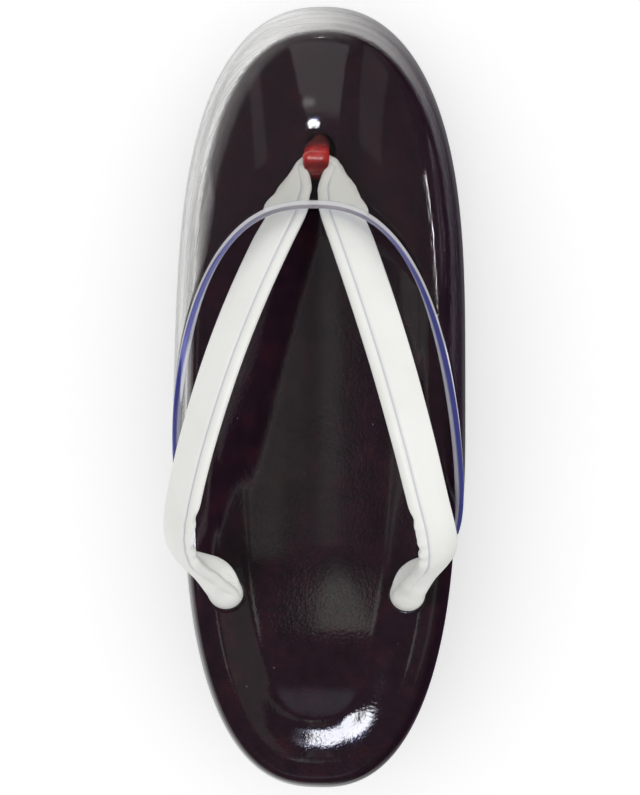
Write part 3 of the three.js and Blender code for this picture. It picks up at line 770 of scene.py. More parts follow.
def rounded_end(across, up, closed):
    """Closes the gutter of a rolled section by moving its points towards one plain oval."""
    mouth = math.radians(END_OVAL["mouth"])
    round_face = np.linspace(1.5 * math.pi - mouth, mouth - math.pi / 2, FACE_POINTS)
    in_mouth = np.linspace(mouth, -mouth, len(across) - FACE_POINTS + 2)[1:-1] - math.pi / 2
    angle = np.concatenate([round_face, in_mouth])
    oval_across = (across.max() + across.min()) / 2 + np.ptp(across) / 2 * np.cos(angle)
    oval_up = (up.max() + up.min()) / 2 + np.ptp(up) / 2 * np.sin(angle)
    return across + (oval_across - across) * closed, up + (oval_up - up) * closed


def past_seam(row):
    """How many rows a place lies before the start of the seam or after its end."""
    return max(0, row - SEAM["fades_row"], SEAM["starts_row"] - row)


def strap_section(width, thick, curl, row):
    """Outline of the strap across: face, outer edge, lining, inner edge, bent to an arc where it curls."""
    flat = (width - thick) / 2

    def half_thick(s):
        return thick / 2 * (1 - STRAP_CROWN * (s / flat) ** 2)

    face = np.linspace(-flat, flat, FACE_POINTS)
    lining = np.linspace(flat, -flat, LINING_POINTS)
    turn = np.linspace(0, math.pi, EDGE_POINTS + 2)[1:-1]
    edge = half_thick(flat)
    s = np.concatenate([face, flat + thick / 2 * np.sin(turn), lining, -flat - thick / 2 * np.sin(turn)])
    height = np.concatenate(
        [half_thick(face), edge * np.cos(turn), -half_thick(lining), -edge * np.cos(turn)]
    )
    seam_at = SEAM["from_edge"] - width / 2
    on_face = np.arange(len(s)) < FACE_POINTS
    seam_depth = SEAM["depth"] / (1 + SEAM_FADES["depth"] * past_seam(row))
    height -= on_face * seam_depth * np.exp(-(((s - seam_at) / SEAM["width"]) ** 2))
    inner = np.clip((seam_at + PINCH_EDGE["past_seam"] - s) / PINCH_EDGE["width"], 0, 1) ** 2
    for pinch in PINCHES:
        close = math.exp(-(((row - pinch["row"]) / pinch["length"]) ** 2))
        height -= pinch["depth"] * close * inner * np.sign(height)
        s += PINCH_EDGE["pull"] * pinch["depth"] * close * inner
    closed = smoothstep(row, END_OVAL["from_row"], END_OVAL["to_row"])
    return rounded_end(*folded(s, height, width, math.radians(curl)), closed)


strap_rows = [{**row, "row": i} for i, row in enumerate(STRAP)]
strap_path = smooth_path([[row["x"], row["y"], row["z"]] for row in STRAP])
last_row = len(STRAP) - 1


def strap_ring(row, side):
    """The strap's outline in place on one arm, side 1 for the right and -1 for the left."""
    now = {name: float(from_table(strap_rows, name, row, by="row")) for name in STRAP[0]}
    centre, along = strap_path(row)
    if row == 0:
        along = np.array([1.0, 0, 0])
    faces = math.radians(now["faces"])
    outward = np.array([math.cos(faces), math.sin(faces), 0])
    outward -= along * (outward @ along)
    outward /= np.linalg.norm(outward)
    up = np.cross(along, outward)
    lean = math.radians(now["lean"])
    normal = up * math.cos(lean) + outward * math.sin(lean)
    breadth = outward * math.cos(lean) - up * math.sin(lean)
    s, height = strap_section(now["width"], now["thick"], now["curl"], row)
    ring = centre + s[:, None] * breadth + height[:, None] * normal
    return ring * (side, 1, 1)


def tube(name, rings):
    """A piece from rings that follow one another, closed at both ends by a fan."""
    count = len(rings[0])
    last = (len(rings) - 1) * count
    points = np.concatenate(rings + [[rings[0].mean(0)], [rings[-1].mean(0)]])
    faces = stack_faces(count, len(rings))
    for here in range(count):
        after = (here + 1) % count
        faces.append((here, after, len(points) - 2))
        faces.append((last + here, last + after, len(points) - 1))
    return new_piece(name, points, faces, ROUND_SHARP_ANGLE)


def set_attribute(piece, name, values):
    """Keeps a value or a vector for each point of a piece, for its material to read."""
    kind, field = ("FLOAT", "value") if values.ndim == 1 else ("FLOAT_VECTOR", "vector")
    piece.data.attributes.new(name, kind, "POINT").data.foreach_set(field, values.ravel())


def attribute(tree, name, output="Fac"):
    """Reads what a piece keeps for each of its points."""
    return node(tree, "ShaderNodeAttribute", attribute_name=name).outputs[output]


arm_rows = np.linspace(0, last_row, last_row * STRAP_STEPS + 1)
strap_rings = [strap_ring(row, -1) for row in arm_rows[:0:-1]] + [strap_ring(row, 1) for row in arm_rows]
strap_count = len(strap_rings[0])
strap = tube("strap_v", strap_rings)
from_seam = np.full(len(strap.data.vertices), FAR_FROM_SEAM)
painted_underside_shade = np.zeros(len(strap.data.vertices))
for level, row in enumerate(np.concatenate([arm_rows[:0:-1], arm_rows])):
    width, thick = (float(from_table(strap_rows, name, row, by="row")) for name in ("width", "thick"))
    face = np.linspace(0, width - thick, FACE_POINTS) + thick / 2 - SEAM["from_edge"]
    face_first = level * strap_count
    from_seam[face_first : face_first + FACE_POINTS] = face * (1 + SEAM_FADES["line"] * past_seam(row))
    lining_first = face_first + FACE_POINTS + EDGE_POINTS
    # Painted shade on the underside, faded out at the rolled ends.
    underside_shaded = 1 - smoothstep(row, UNDERSIDE_SHADE_ROWS["fades_row"], UNDERSIDE_SHADE_ROWS["ends_row"])
    painted_underside_shade[lining_first : lining_first + LINING_POINTS] = underside_shaded
set_attribute(strap, "from_seam", from_seam)
set_attribute(strap, "painted_underside_shade", painted_underside_shade)

white, white_tree, white_shader = new_material(
    "white_leatherette",
    Roughness=0.42,
    Specular_IOR_Level=0.45,
    Coat_Weight=0.12,
    Coat_Roughness=0.3,
    Sheen_Weight=0.08,
)
white_place = object_place(white_tree)
white_smudge = from_group(white_tree, DUST, Smudge_Scale=70.0)["Smudge"]
white_cells = node(white_tree, "ShaderNodeTexVoronoi", {"Vector": white_place, "Scale": 1500.0})
white_soft = noise(white_tree, white_place, 160.0, Detail=3.0)
white_grain = mixed(white_tree, 0.6, white_cells.outputs["Distance"], white_soft)
white_face = colour_ramp(white_tree, white_smudge, WHITE_TONES)
# The seam's groove is painted with a bluish grey line, a painted shade in the crease.
white_near = calculated(white_tree, "ABSOLUTE", attribute(white_tree, "from_seam"))
white_seam_shade = ranged(white_tree, white_near, SEAM_SHADE_LINE["from"], SEAM_SHADE_LINE["to"], to=(SEAM_SHADE_LINE["share"], 0.0))
white_with_seam_shade = mixed_colour(white_tree, white_seam_shade, white_face, SEAM_PAINTED_SHADE_TONE)
feed(
    white_tree,
    white_shader,
    Base_Color=mixed_colour(white_tree, attribute(white_tree, "painted_underside_shade"), white_with_seam_shade, UNDERSIDE_PAINTED_SHADE_TONE),
    Normal=bumped(white_tree, white_grain, strength=0.25, depth=0.15),
)
strap.data.materials.append(white)
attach(strap, "root")
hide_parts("strap")


# Toe loop
# A folded strip of glossy dark red enamel. It goes round the strap's front fold, and both of its legs are
# pulled down through the front hole.
LOOP_THICK = 2.4
LOOP_FRONT = [
    {"y": 81.8, "z": 19.6, "width": 5.8},
    {"y": 82.3, "z": 26.6, "width": 6.4},
    {"y": 81.9, "z": 31, "width": 7},
    {"y": 79.6, "z": 36, "width": 7.6},
]
LOOP_BACK = [
    {"y": 70.4, "z": 34.8, "width": 4.8},
    {"y": 73.6, "z": 31, "width": 4.8},
    {"y": 76.2, "z": 27.6, "width": 5},
    {"y": 77, "z": 23.6, "width": 5.4},
    {"y": 77.2, "z": 19.6, "width": 5.8},
]
LOOP_BEND_WIDTHS = [8.2, 8.6, 8.4, 7.4, 6.2, 5.2, 4.6]
LOOP_STEPS = 9
LOOP_SIDES = 40
LOOP_RIPPLE = {"height": 0.09, "across": 1.3, "along": 0.9}
LOOP_BOW = 2.0
LOOP_ROUNDNESS = {"front": 0.95, "bend": 0.62, "thickness": 0.75}
RED_TONES = [(0.3, (0.34, 0.008, 0.009)), (0.7, (0.62, 0.02, 0.017))]
# Painted shade: the loop is painted near black low down and behind its crest, where it stands in shade.
LOOP_PAINTED_SHADE_TONE = (0.06, 0.006, 0.006)
LOOP_PAINTED_SHADE = {"below_z": 38.5, "lit_z": 44.2, "behind_y": 71.2, "lit_y": 73.7, "lit_share_behind": 0.3}

fold = STRAP[0]
fold_lean = math.radians(fold["lean"])
bend_radius = fold["thick"] / 2 + GAP + LOOP_THICK / 2
to_edge = fold["width"] / 2 - fold["thick"] / 2
loop_rows = list(LOOP_FRONT)
for i, width in enumerate(LOOP_BEND_WIDTHS):
    angle = math.pi / 2 - fold_lean + math.pi * i / (len(LOOP_BEND_WIDTHS) - 1)
    bend_y = fold["y"] - to_edge * math.cos(fold_lean) + bend_radius * math.cos(angle)
    bend_z = fold["z"] + to_edge * math.sin(fold_lean) + bend_radius * math.sin(angle)
    loop_rows.append({"y": bend_y, "z": bend_z, "width": width})
loop_rows += LOOP_BACK
loop_rows = [{**row, "row": i} for i, row in enumerate(loop_rows)]
loop_path = smooth_path([[0, row["y"], row["z"]] for row in loop_rows])


def loop_ring(row):
    """The loop's outline across: bowed and rounder on its front leg, and rippled on its outside."""
    centre, along = loop_path(row)
    half = float(from_table(loop_rows, "width", row, by="row")) / 2
    turn = 2 * math.pi * np.arange(LOOP_SIDES) / LOOP_SIDES
    side, face = np.cos(turn), np.sin(turn)
    bend_row = len(LOOP_FRONT)
    on_bend = smoothstep(row, bend_row - 2, bend_row + 1)
    roundness = LOOP_ROUNDNESS["front"] + (LOOP_ROUNDNESS["bend"] - LOOP_ROUNDNESS["front"]) * on_bend
    x = half * np.sign(side) * np.abs(side) ** roundness
    out = LOOP_THICK / 2 * np.sign(face) * np.abs(face) ** LOOP_ROUNDNESS["thickness"]
    ripple = np.sin(LOOP_RIPPLE["across"] * x + LOOP_RIPPLE["along"] * row)
    out = out + LOOP_RIPPLE["height"] * ripple * (out > 0)
    out = out - LOOP_BOW * (x / half) ** 2 * (1 - smoothstep(row, bend_row - 2, bend_row))
    return np.column_stack([x, centre[1] + along[2] * out, centre[2] - along[1] * out])


loop_last = len(loop_rows) - 1
loop = tube("toe_loop", [loop_ring(row) for row in np.linspace(0, loop_last, loop_last * LOOP_STEPS + 1)])

red, red_tree, red_shader = new_material("red_enamel", Roughness=0.24, Coat_Weight=1.0, Coat_Roughness=0.07)
red_place = object_place(red_tree)
red_face = colour_ramp(red_tree, noise(red_tree, red_place, 400.0, Detail=4.0), RED_TONES)
red_axes = axes(red_tree, red_place)
# Painted shade, darker towards the bottom of the loop and behind the crest.
red_high = ranged(red_tree, red_axes["Z"], LOOP_PAINTED_SHADE["below_z"] * MM, LOOP_PAINTED_SHADE["lit_z"] * MM)
red_ridge = ranged(
    red_tree,
    red_axes["Y"],
    LOOP_PAINTED_SHADE["behind_y"] * MM,
    LOOP_PAINTED_SHADE["lit_y"] * MM,
    to=(LOOP_PAINTED_SHADE["lit_share_behind"], 1.0),
)
red_lit = calculated(red_tree, "MULTIPLY", red_high, red_ridge)
red_peel = from_group(red_tree, ORANGE_PEEL, Wave_Scale=500.0)["Height"]
feed(
    red_tree,
    red_shader,
    Base_Color=mixed_colour(red_tree, red_lit, LOOP_PAINTED_SHADE_TONE, red_face),
    Normal=bumped(red_tree, red_peel, strength=0.4, depth=0.2),
)
loop.data.materials.append(red)
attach(loop, "root")
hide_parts("toe_thong")


# Toe cover
# Clear vinyl sheet, heat-formed into a hood over the toes. Its rear edge is a thick cut lip that shows
# bluish, with its outer and inner corners painted pale as painted highlights, and its foot is turned in
# and glued between the wedge and the outsole.
COVER_PLAN = {"half_width": 46.8, "toe_y": 124.6}
COVER_FOOT_PLAN = {"half_width": 43.2, "toe_y": 119.0}
COVER_MARGIN_PLAN = {"half_width": 34.0, "toe_y": 107.0}
COVER_END_Y = -46.5
COVER_WALL = 1.6
COVER_LIP = 2.9
COVER_LIP_BAND = 3.2
COVER_LIP_ROUNDNESS = 0.75
COVER_SEAT_GAP = 0.5
COVER_TURN = 2.3
COVER_SWELL_HEIGHT = 14.0
COVER_SWELL_SHARE = 0.42
COVER_FULL_HEIGHT = 34.0
COVER_COLUMNS = 150
COVER_ROWS = {"turn": 8, "wall": 16, "hood": 44}
COVER_LIP_ROWS = 9
COVER_LIP_TINTED = 3
COVER_EDGE_POINTS = 9
LIP = {
    "apex_y": 57.0,
    "apex_z": 61.0,
    "end_z": 15.0,
    "half_width": 46.8,
    "fullness": 2.2,
    "bluntness": 0.4,
    "end_tuck": 2.3,
    "tuck_spread": 14.0,
    "rise": 2.5,
    "roundness": 0.75,
}
LIP_LEAD = 0.7
LIP_FINENESS = 3000
HOOD_ARC = {"side": 0.6, "toe": 1.48}
VINYL_IOR = 1.46
VINYL_TONE = (0.975, 0.971, 0.958)
VINYL_STREAKS = {"scale": (18, 650, 1), "from": 32, "to": 52, "strengths": (0.25, 0.05)}
VINYL_HAZE = {"from": 20, "to": 42, "roughness": (0.2, 0.03)}
VINYL_SHADOW = (0.95, 0.95, 0.95, 1)
EDGE_ALONG = {"from_y": 30, "to_y": 56}
EDGE_TONES = [(0.0, (0.1, 0.11, 0.46)), (0.6, (0.2, 0.2, 0.5)), (1.0, (0.4, 0.38, 0.42))]
# Painted highlights: pale lines painted along the lip's outer corner and over its inner side.
EDGE_PAINTED_HIGHLIGHT_TONE = (0.95, 0.95, 0.97)
EDGE_PAINTED_HIGHLIGHT_SHARES = [(0.0, 1.0), (0.13, 1.0), (0.19, 0.0), (0.43, 0.0), (0.52, 0.75), (1.0, 0.8)]
EDGE_SHADOW = (0.6, 0.62, 0.85, 1)


def lip_points(shares):
    """Places along the lip, from its right end at 0 to its apex at 1, by shares of its length."""
    t = np.sin(np.linspace(0, math.pi / 2, LIP_FINENESS))
    lift = (1 - (1 - t) ** LIP["rise"]) ** LIP["roundness"]
    width = LIP["half_width"] * (1 - t ** LIP["fullness"]) ** LIP["bluntness"]
    x = width - LIP["end_tuck"] * (1 - t) ** LIP["tuck_spread"]
    y = COVER_END_Y + (LIP["apex_y"] - COVER_END_Y) * t
    z = LIP["end_z"] + (LIP["apex_z"] - LIP["end_z"]) * lift
    return along_path(np.stack([x, y, z], 1), shares)


def on_seat(flat):
    """Points of a plan outline at the height of the outsole's top."""
    seat = from_table(UNDERSIDE, "z", flat[:, 1]) + OUTSOLE_THICKNESS + COVER_SEAT_GAP
    return np.column_stack([flat, seat])


shares = np.linspace(0, 1, COVER_COLUMNS + 1)
margin = on_seat(half_outline(COVER_MARGIN_PLAN, COVER_END_Y, COVER_COLUMNS))
foot = on_seat(half_outline(COVER_FOOT_PLAN, COVER_END_Y, COVER_COLUMNS))
swell_plan = half_outline(COVER_PLAN, COVER_END_Y, COVER_COLUMNS)
lip = lip_points(shares**LIP_LEAD)

# The lasting margin, and the turn from it up into the wall
cover_rows = [margin]
inward = (margin - foot) * (1, 1, 0)
inward /= np.linalg.norm(inward, axis=1, keepdims=True)
for i in range(COVER_ROWS["turn"]):
    angle = math.pi / 2 * i / COVER_ROWS["turn"]
    turned = foot + inward * COVER_TURN * (1 - math.sin(angle))
    cover_rows.append(turned + np.array([0, 0, COVER_TURN * (1 - math.cos(angle))]))

# The wall, which swells outwards from its foot
wall = foot + np.array([0, 0, COVER_TURN])
rise = lip[:, 2] - wall[:, 2]
full = smoothstep(rise, 0, COVER_FULL_HEIGHT)[:, None]
swell = (wall[:, :2] + lip[:, :2]) / 2 * (1 - full) + swell_plan * full
swell = np.column_stack([swell, wall[:, 2] + np.minimum(COVER_SWELL_HEIGHT, COVER_SWELL_SHARE * rise)])
for i in range(COVER_ROWS["wall"]):
    t = i / COVER_ROWS["wall"]
    flat = wall[:, :2] + (swell[:, :2] - wall[:, :2]) * smoothstep(t, 0, 1)
    cover_rows.append(np.column_stack([flat, wall[:, 2] + (swell[:, 2] - wall[:, 2]) * t]))

# The hood, which arches from the swell up to the lip, with closer rows in the thick band of the lip
arc = HOOD_ARC["side"] + (HOOD_ARC["toe"] - HOOD_ARC["side"]) * smoothstep(shares, 0, 1)
lip_start = 1 - COVER_LIP_BAND / np.linalg.norm(lip - swell, axis=1)
for i in range(COVER_ROWS["hood"] + COVER_LIP_ROWS + 1):
    below = lip_start * min(1, i / COVER_ROWS["hood"])
    angle = arc * (below + (1 - lip_start) * max(0, i - COVER_ROWS["hood"]) / COVER_LIP_ROWS)
    inwards = (1 - np.cos(angle)) / (1 - np.cos(arc))
    upwards = np.sin(angle) / np.sin(arc)
    flat = swell[:, :2] + (lip[:, :2] - swell[:, :2]) * inwards[:, None]
    cover_rows.append(np.column_stack([flat, swell[:, 2] + (lip[:, 2] - swell[:, 2]) * upwards]))

# Both sides of the sheet, and the rounded rim that joins its two faces
right_half = np.stack(cover_rows, 1)
right_half[-1, :, 0] = 0
outer = np.concatenate([right_half, right_half[-2::-1] * (-1, 1, 1)])
cover_across = np.gradient(outer, axis=0)
cover_up = np.gradient(outer, axis=1)
cover_in = np.cross(cover_up, cover_across)
cover_in /= np.linalg.norm(cover_in, axis=2, keepdims=True)
row_count = outer.shape[1]
lip_share = smoothstep(np.arange(row_count), row_count - 1 - COVER_LIP_ROWS, row_count - 1)
wall_thickness = COVER_WALL + (COVER_LIP - COVER_WALL) * lip_share
inner = outer + cover_in * wall_thickness[None, :, None]
rim_up = cover_up[:, -1] / np.linalg.norm(cover_up[:, -1], axis=1, keepdims=True)
rim_middle = (outer[:, -1] + inner[:, -1]) / 2
rim_half = (outer[:, -1] - inner[:, -1]) / 2
rim = []
for i in range(1, COVER_EDGE_POINTS + 1):
    angle = math.pi * i / (COVER_EDGE_POINTS + 1)
    rounded = rim_up * COVER_LIP / 2 * COVER_LIP_ROUNDNESS * math.sin(angle)
    rim.append(rim_middle + rim_half * math.cos(angle) + rounded)
section = np.concatenate([outer, np.stack(rim, 1), inner[:, ::-1]], 1)
column_count, section_count = section.shape[:2]
cover_faces = stack_faces(section_count, column_count)
for c in (0, column_count - 1):
    first = c * section_count
    for r in range(row_count - 1):
        back = section_count - 1 - r
        cover_faces.append((first + r, first + r + 1, first + back - 1, first + back))
    rim_first = first + row_count - 1
    cover_faces.append(tuple(range(rim_first, rim_first + COVER_EDGE_POINTS + 2)))
cover = new_piece("toe_cover_clear", section.reshape(-1, 3), cover_faces, sharp_angle=60)
lip_first = row_count - COVER_LIP_TINTED
lip_last = row_count + COVER_EDGE_POINTS + COVER_LIP_TINTED
for c in range(column_count - 1):
    for r in range(lip_first, lip_last):
        cover.data.polygons[c * section_count + r].material_index = 1

# Places across the rim, and along and up the sheet, for the materials
across_rim = np.clip((np.arange(section_count) - lip_first) / (lip_last - lip_first), 0, 1)
around = np.cumsum(np.linalg.norm(np.diff(outer[:, COVER_ROWS["turn"]], axis=0, prepend=0), axis=1))
up_sheet = np.cumsum(np.linalg.norm(np.diff(outer, axis=1, prepend=outer[:, :1]), axis=2), axis=1)
up_rim = np.repeat(up_sheet[:, -1:], COVER_EDGE_POINTS, axis=1)
up_section = np.concatenate([up_sheet, up_rim, up_sheet[:, ::-1]], 1)
along_sheet = np.broadcast_to(around[:, None], up_section.shape)
set_attribute(cover, "across_rim", np.tile(across_rim, column_count))
set_attribute(cover, "on_sheet", np.stack([along_sheet, up_section, 0 * up_section], 2) * MM)

clear, clear_tree, clear_shader = new_material("clear_vinyl", IOR=VINYL_IOR, Transmission_Weight=1.0)
clear_waves = from_group(clear_tree, ORANGE_PEEL, Peel_Scale=400.0, Wave_Scale=35.0)["Height"]
clear_wavy = bumped(clear_tree, clear_waves, strength=0.12, depth=0.3)
clear_sheet = attribute(clear_tree, "on_sheet", "Vector")
clear_height = axes(clear_tree, clear_sheet)["Y"]
clear_drawn = node(clear_tree, "ShaderNodeMapping", {"Vector": clear_sheet, "Scale": VINYL_STREAKS["scale"]})
clear_streaks = noise(clear_tree, clear_drawn.outputs["Vector"], 1.0, Detail=2.0, Roughness=0.6)
clear_strength = ranged(
    clear_tree,
    clear_height,
    VINYL_STREAKS["from"] * MM,
    VINYL_STREAKS["to"] * MM,
    to=VINYL_STREAKS["strengths"],
)
clear_haze = ranged(
    clear_tree,
    clear_height,
    VINYL_HAZE["from"] * MM,
    VINYL_HAZE["to"] * MM,
    to=VINYL_HAZE["roughness"],
)
clear_facing = node(clear_tree, "ShaderNodeLayerWeight", {"Blend": 0.5}).outputs["Facing"]
clear_edge_on = ranged(clear_tree, clear_facing, 0.15, 0.55)
clear_dense = colour_ramp(clear_tree, clear_streaks, [(0.36, 0.5), (0.62, 0.97)])
feed(
    clear_tree,
    clear_shader,
    Base_Color=mixed_colour(clear_tree, clear_edge_on, VINYL_TONE, clear_dense),
    Roughness=clear_haze,
    Normal=bumped(clear_tree, clear_streaks, clear_strength, depth=0.16, Normal=clear_wavy),
)
edge, edge_tree, edge_shader = new_material(
    "vinyl_cut_edge",
    Roughness=0.08,
    IOR=VINYL_IOR,
    Transmission_Weight=0.45,
)
edge_y = axes(edge_tree, object_place(edge_tree))["Y"]
edge_along = ranged(edge_tree, edge_y, EDGE_ALONG["from_y"] * MM, EDGE_ALONG["to_y"] * MM)
edge_core = colour_ramp(edge_tree, edge_along, EDGE_TONES)
# The lip's painted highlights, laid over its bluish core.
edge_highlight = colour_ramp(edge_tree, attribute(edge_tree, "across_rim"), EDGE_PAINTED_HIGHLIGHT_SHARES)
feed(edge_tree, edge_shader, Base_Color=mixed_colour(edge_tree, edge_highlight, edge_core, EDGE_PAINTED_HIGHLIGHT_TONE))
cover.data.materials.append(clear)
cover.data.materials.append(edge)


def let_lamps_through(tree, shader, colour):
    """Lets lamp light pass straight through a clear material, in place of slow caustics."""
    path = node(tree, "ShaderNodeLightPath")
    through = node(tree, "ShaderNodeBsdfTransparent", {"Color": colour})
    mixed = node(
        tree,
        "ShaderNodeMixShader",
        {0: path.outputs["Is Shadow Ray"], 1: shader.outputs["BSDF"], 2: through.outputs["BSDF"]},
    )
    tree.links.new(mixed.outputs["Shader"], tree.nodes["Material Output"].inputs["Surface"])


let_lamps_through(clear_tree, clear_shader, VINYL_SHADOW)
let_lamps_through(edge_tree, edge_shader, EDGE_SHADOW)
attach(cover, "root")
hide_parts("toe_cover")


# Floor, light and camera
# A pale floor under soft light from all round, with flat lamps whose reflections show on the gloss. To the
# sandal's right the floor carries a painted shade, seen only in reflections on the gloss and through the
# clear vinyl.
# The camera looks down on the sandal from a little to its right.
FLOOR_HALF = 3000
# The dark purple end of the floor's tones and glow is painted shade: a painted dark reflection and a painted
# shadow.
FLOOR_TONES = [(0.0, 0.92), (1.0, (0.045, 0.018, 0.05))]
FLOOR_GLOW = [(0.0, 0.36), (1.0, 0.0)]
FLOOR_PAINTED_SHADE_X = {"from_x": -20, "to_x": 60}
SKY_SEEN = [(0.0, 0.85), (0.5, 0.85), (0.9, 0.7), (1.0, 0.7)]
SKY_MIRRORED_LEFT = [(0.0, 0.9), (0.2, 0.6), (0.31, 0.1), (0.93, 0.08)]
SKY_MIRRORED_RIGHT = [(0.0, 0.03), (0.5, 0.04), (0.93, 0.08)]


def mirrored_ray(tree):
    """1 for a ray that was reflected by gloss and by nothing matt, which shows the studio as darker."""
    path = node(tree, "ShaderNodeLightPath").outputs
    return calculated(tree, "GREATER_THAN", path["Glossy Depth"], path["Diffuse Depth"])


floor_corners = [(x * FLOOR_HALF, y * FLOOR_HALF, 0) for x, y in ((-1, -1), (1, -1), (1, 1), (-1, 1))]
floor = new_piece("floor", floor_corners, [(0, 1, 2, 3)])
paper, paper_tree, paper_shader = new_material(
    "pale_floor",
    Roughness=0.9,
    Specular_IOR_Level=0.1,
    Emission_Strength=1.0,
)
# Painted shade: to the sandal's right, rays mirrored by the gloss and rays through the vinyl find the floor
# dark.
paper_x = axes(paper_tree, object_place(paper_tree))["X"]
paper_side = ranged(paper_tree, paper_x, FLOOR_PAINTED_SHADE_X["from_x"] * MM, FLOOR_PAINTED_SHADE_X["to_x"] * MM)
paper_through = node(paper_tree, "ShaderNodeLightPath").outputs["Is Transmission Ray"]
paper_dim = calculated(paper_tree, "MAXIMUM", mirrored_ray(paper_tree), paper_through)
paper_shade = calculated(paper_tree, "MULTIPLY", paper_dim, paper_side)
feed(
    paper_tree,
    paper_shader,
    Base_Color=colour_ramp(paper_tree, paper_shade, FLOOR_TONES),
    Emission_Color=colour_ramp(paper_tree, paper_shade, FLOOR_GLOW),
)
floor.data.materials.append(paper)

world = bpy.data.worlds.new("studio")
bpy.context.scene.world = world
world.use_nodes = True
sky_tree = world.node_tree
sky_axes = axes(sky_tree, node(sky_tree, "ShaderNodeTexCoord").outputs["Generated"])
sky_seen = colour_ramp(sky_tree, sky_axes["Z"], SKY_SEEN)
sky_left = colour_ramp(sky_tree, sky_axes["Z"], SKY_MIRRORED_LEFT)
sky_right = colour_ramp(sky_tree, sky_axes["Z"], SKY_MIRRORED_RIGHT)
sky_side = ranged(sky_tree, sky_axes["X"], -0.45, 0.35)
sky_mirrored = mixed_colour(sky_tree, sky_side, sky_left, sky_right)
sky_colour = mixed_colour(sky_tree, mirrored_ray(sky_tree), sky_seen, sky_mirrored)
feed(sky_tree, sky_tree.nodes["Background"], Color=sky_colour)


def facing(place, target, up):
    """The turn of a lamp or camera that looks from a place to a target, with a direction for its top."""
    back = (Vector(place) - Vector(target)).normalized()
    right = Vector(up).cross(back).normalized()
    return Matrix((right, back.cross(right), back)).transposed().to_euler()


def fade_lamp(lamp, sides, ends, foot=(0, 1), head=(0, 1)):
    """Fades a flat lamp towards its sides and ends, in shares of its size, between sides that may slant."""
    lamp.use_nodes = True
    tree = lamp.node_tree
    share = axes(tree, node(tree, "ShaderNodeNewGeometry").outputs["Parametric"])
    lit = 1.0
    for i, inwards in ((0, 1), (1, -1)):
        line = ranged(tree, share["Y"], to=(foot[i], head[i]))
        past_line = calculated(tree, "SUBTRACT", share["X"], line)
        for value, start, width in ((past_line, 0, sides[i]), (share["Y"], i, ends[i])):
            fade = ranged(tree, value, start, start + width * inwards, interpolation_type="SMOOTHSTEP")
            lit = calculated(tree, "MULTIPLY", fade, lit)
    feed(tree, tree.nodes["Emission"], Strength=lit)


def soft_box(name, piece, at, size, glow, to=None, top=(0, 1, 0), colour=(1, 1, 1), fade=None):
    """A flat lamp that lights one piece alone, aimed at a place or straight down, in millimetres."""
    lamp = bpy.data.lights.new(name, "AREA")
    lamp.shape = "RECTANGLE"
    lamp.color = colour
    lamp.size, lamp.size_y = (side * MM for side in size)
    lamp.energy = glow * math.pi * lamp.size * lamp.size_y
    if fade:
        fade_lamp(lamp, **fade)
    holder = bpy.data.objects.new(name, lamp)
    holder.location = Vector(at) * MM
    holder.rotation_euler = facing(at, to or (at[0], at[1], 0), top)
    bpy.context.scene.collection.objects.link(holder)
    receivers = bpy.data.collections.new(name + "_lights")
    receivers.objects.link(piece)
    holder.light_linking.receiver_collection = receivers
    holder.visible_camera = False


HEEL = (0, -108, 44)
HOOD = (0, 82, 55)
MIDDLE = (0, 0, 50)
UP = (0, 0, 1)
TURNED = (-0.3, 0.95, 0)
BLUISH = (0.3, 0.42, 1.0)
PALE_BLUE = (0.62, 0.74, 1.0)
FAINT_BLUE = (0.8, 0.88, 1.0)
GREENISH = (0.9, 1.0, 0.88)
INSOLE_LAMPS = {
    "heel_lamp": {"at": (-500, 965, 1900), "to": HEEL, "size": (680, 410), "glow": 16, "top": TURNED},
    "heel_side_lamp": {"at": (-1056, 552, 1857), "to": HEEL, "size": (440, 880), "glow": 16},
    "heel_fill": {"at": (120, 900, 2000), "to": HEEL, "size": (700, 200), "glow": 2.2, "colour": PALE_BLUE},
    "heel_glow": {"at": (-200, -735, 2000), "size": (600, 630), "glow": 0.35, "colour": FAINT_BLUE},
    "heel_fringe": {
        "at": (-470, 915, 1966),
        "to": HEEL,
        "size": (670, 680),
        "glow": 3,
        "top": TURNED,
        "colour": BLUISH,
    },
    "heel_side_fringe": {
        "at": (-980, 559, 1932),
        "to": HEEL,
        "size": (760, 980),
        "glow": 3,
        "colour": BLUISH,
    },
    "heel_veil": {"at": (418, 0, 1993), "to": HEEL, "size": (800, 500), "glow": 0.2, "colour": GREENISH},
    "sole_patch": {"at": (-136, 82, 2000), "size": (103, 395), "glow": 1.0, "colour": GREENISH},
    "sole_strip": {"at": (-165, 345, 2000), "size": (40, 430), "glow": 0.5, "colour": GREENISH},
    "sole_left": {"at": (-263, 380, 2000), "size": (60, 360), "glow": 0.4, "colour": GREENISH},
    "sole_upper": {"at": (-221, 480, 2000), "size": (34, 170), "glow": 0.2, "colour": GREENISH},
}
COVER_LAMPS = {
    "hood_lamp": {"at": (-53, 432, 584), "to": HOOD, "size": (32, 22), "glow": 40},
    "hood_fringe": {"at": (-53, 447, 572), "to": HOOD, "size": (30, 14), "glow": 3, "colour": BLUISH},
    "hood_middle": {"at": (-31, 800, 686), "to": (-31, 0, 686), "size": (414, 888), "glow": 0.4, "top": UP},
    "hood_left": {"at": (-615, 800, 850), "to": (-615, 0, 850), "size": (155, 1300), "glow": 0.17, "top": UP},
    "hood_right": {"at": (455, 800, 700), "to": (455, 0, 700), "size": (310, 1150), "glow": 0.13, "top": UP},
}
for low, high, glow in ((0, 150, 1.4), (150, 290, 1.0), (290, 450, 0.55)):
    middle = (low + high) / 2
    COVER_LAMPS[f"hood_window_{low}"] = {
        "at": (-930, 340, middle),
        "to": (0, 340, middle),
        "size": (280, high - low),
        "glow": glow,
        "top": UP,
    }
COVER_LAMPS["hood_glint"] = {"at": (500, 200, 2), "to": HOOD, "size": (170, 7), "glow": 50, "top": UP}
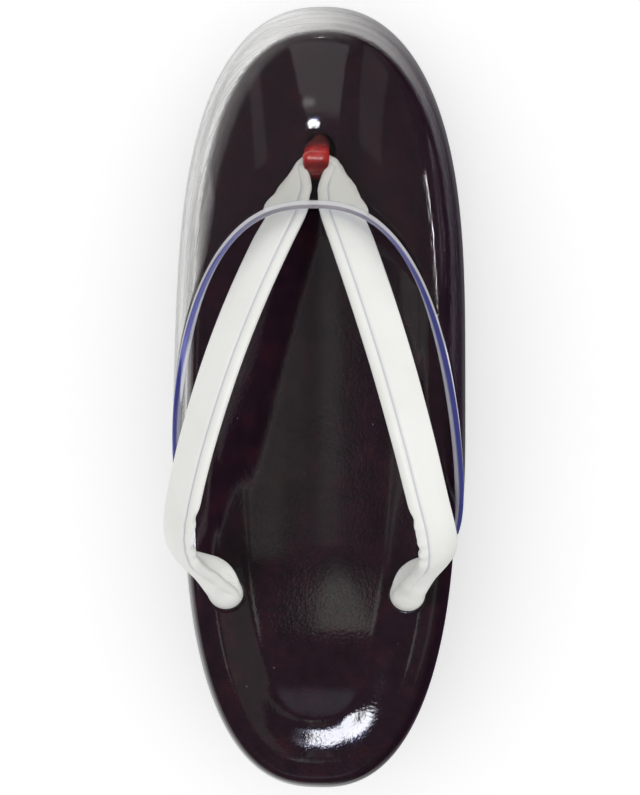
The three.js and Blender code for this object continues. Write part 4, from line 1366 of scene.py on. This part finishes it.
LOOP_LAMPS = {"loop_lamp": {"at": (-53, 432, 584), "to": HOOD, "size": (260, 110), "glow": 14}}
STRAP_LAMPS = {"strap_lamp": {"at": (950, 330, 1540), "to": MIDDLE, "size": (600, 600), "glow": 7.5}}
LAMP_FADES = {
    "heel_fill": {"sides": (0.05, 0.85), "ends": (0.2, 0.2)},
    "heel_glow": {"sides": (0.3, 0.3), "ends": (0.1, 0.65)},
    "heel_fringe": {"sides": (0.1, 0.1), "ends": (0.5, 0.3)},
    "heel_side_fringe": {"sides": (0.2, 0.5), "ends": (0.1, 0.1)},
    "sole_patch": {"sides": (0.1, 0.1), "ends": (0.03, 0.5), "head": (0.25, 0.4)},
    "sole_strip": {"sides": (0.2, 0.2), "ends": (0.3, 0.05)},
    "sole_left": {"sides": (0.15, 0.15), "ends": (0.2, 0.05)},
    "sole_upper": {"sides": (0.3, 0.3), "ends": (0.1, 0.1)},
    "hood_middle": {"sides": (0.04, 0.04), "ends": (0.01, 0.25), "head": (0.21, 0.76)},
}
for piece, lamps in ((insole, INSOLE_LAMPS), (cover, COVER_LAMPS), (loop, LOOP_LAMPS), (strap, STRAP_LAMPS)):
    for name, lamp in lamps.items():
        soft_box(name, piece, fade=LAMP_FADES.get(name), **lamp)

CAMERA_PLACE = (46, -1.7, 540)
CAMERA_TARGET = (0, -1.7, 30)
CAMERA_FOCUS_PIXELS = 1585
FRAME_HEIGHT_PIXELS = 795
SENSOR_HEIGHT = 36
view = bpy.data.cameras.new("camera")
view.sensor_fit = "VERTICAL"
view.sensor_height = SENSOR_HEIGHT
view.lens = SENSOR_HEIGHT * CAMERA_FOCUS_PIXELS / FRAME_HEIGHT_PIXELS
view.clip_start = 0.01
camera = bpy.data.objects.new("camera", view)
camera.location = Vector(CAMERA_PLACE) * MM
camera.rotation_euler = facing(CAMERA_PLACE, CAMERA_TARGET, (0, 1, 0))
bpy.context.scene.collection.objects.link(camera)
bpy.context.scene.camera = camera
bpy.context.scene.view_settings.view_transform = "Standard"
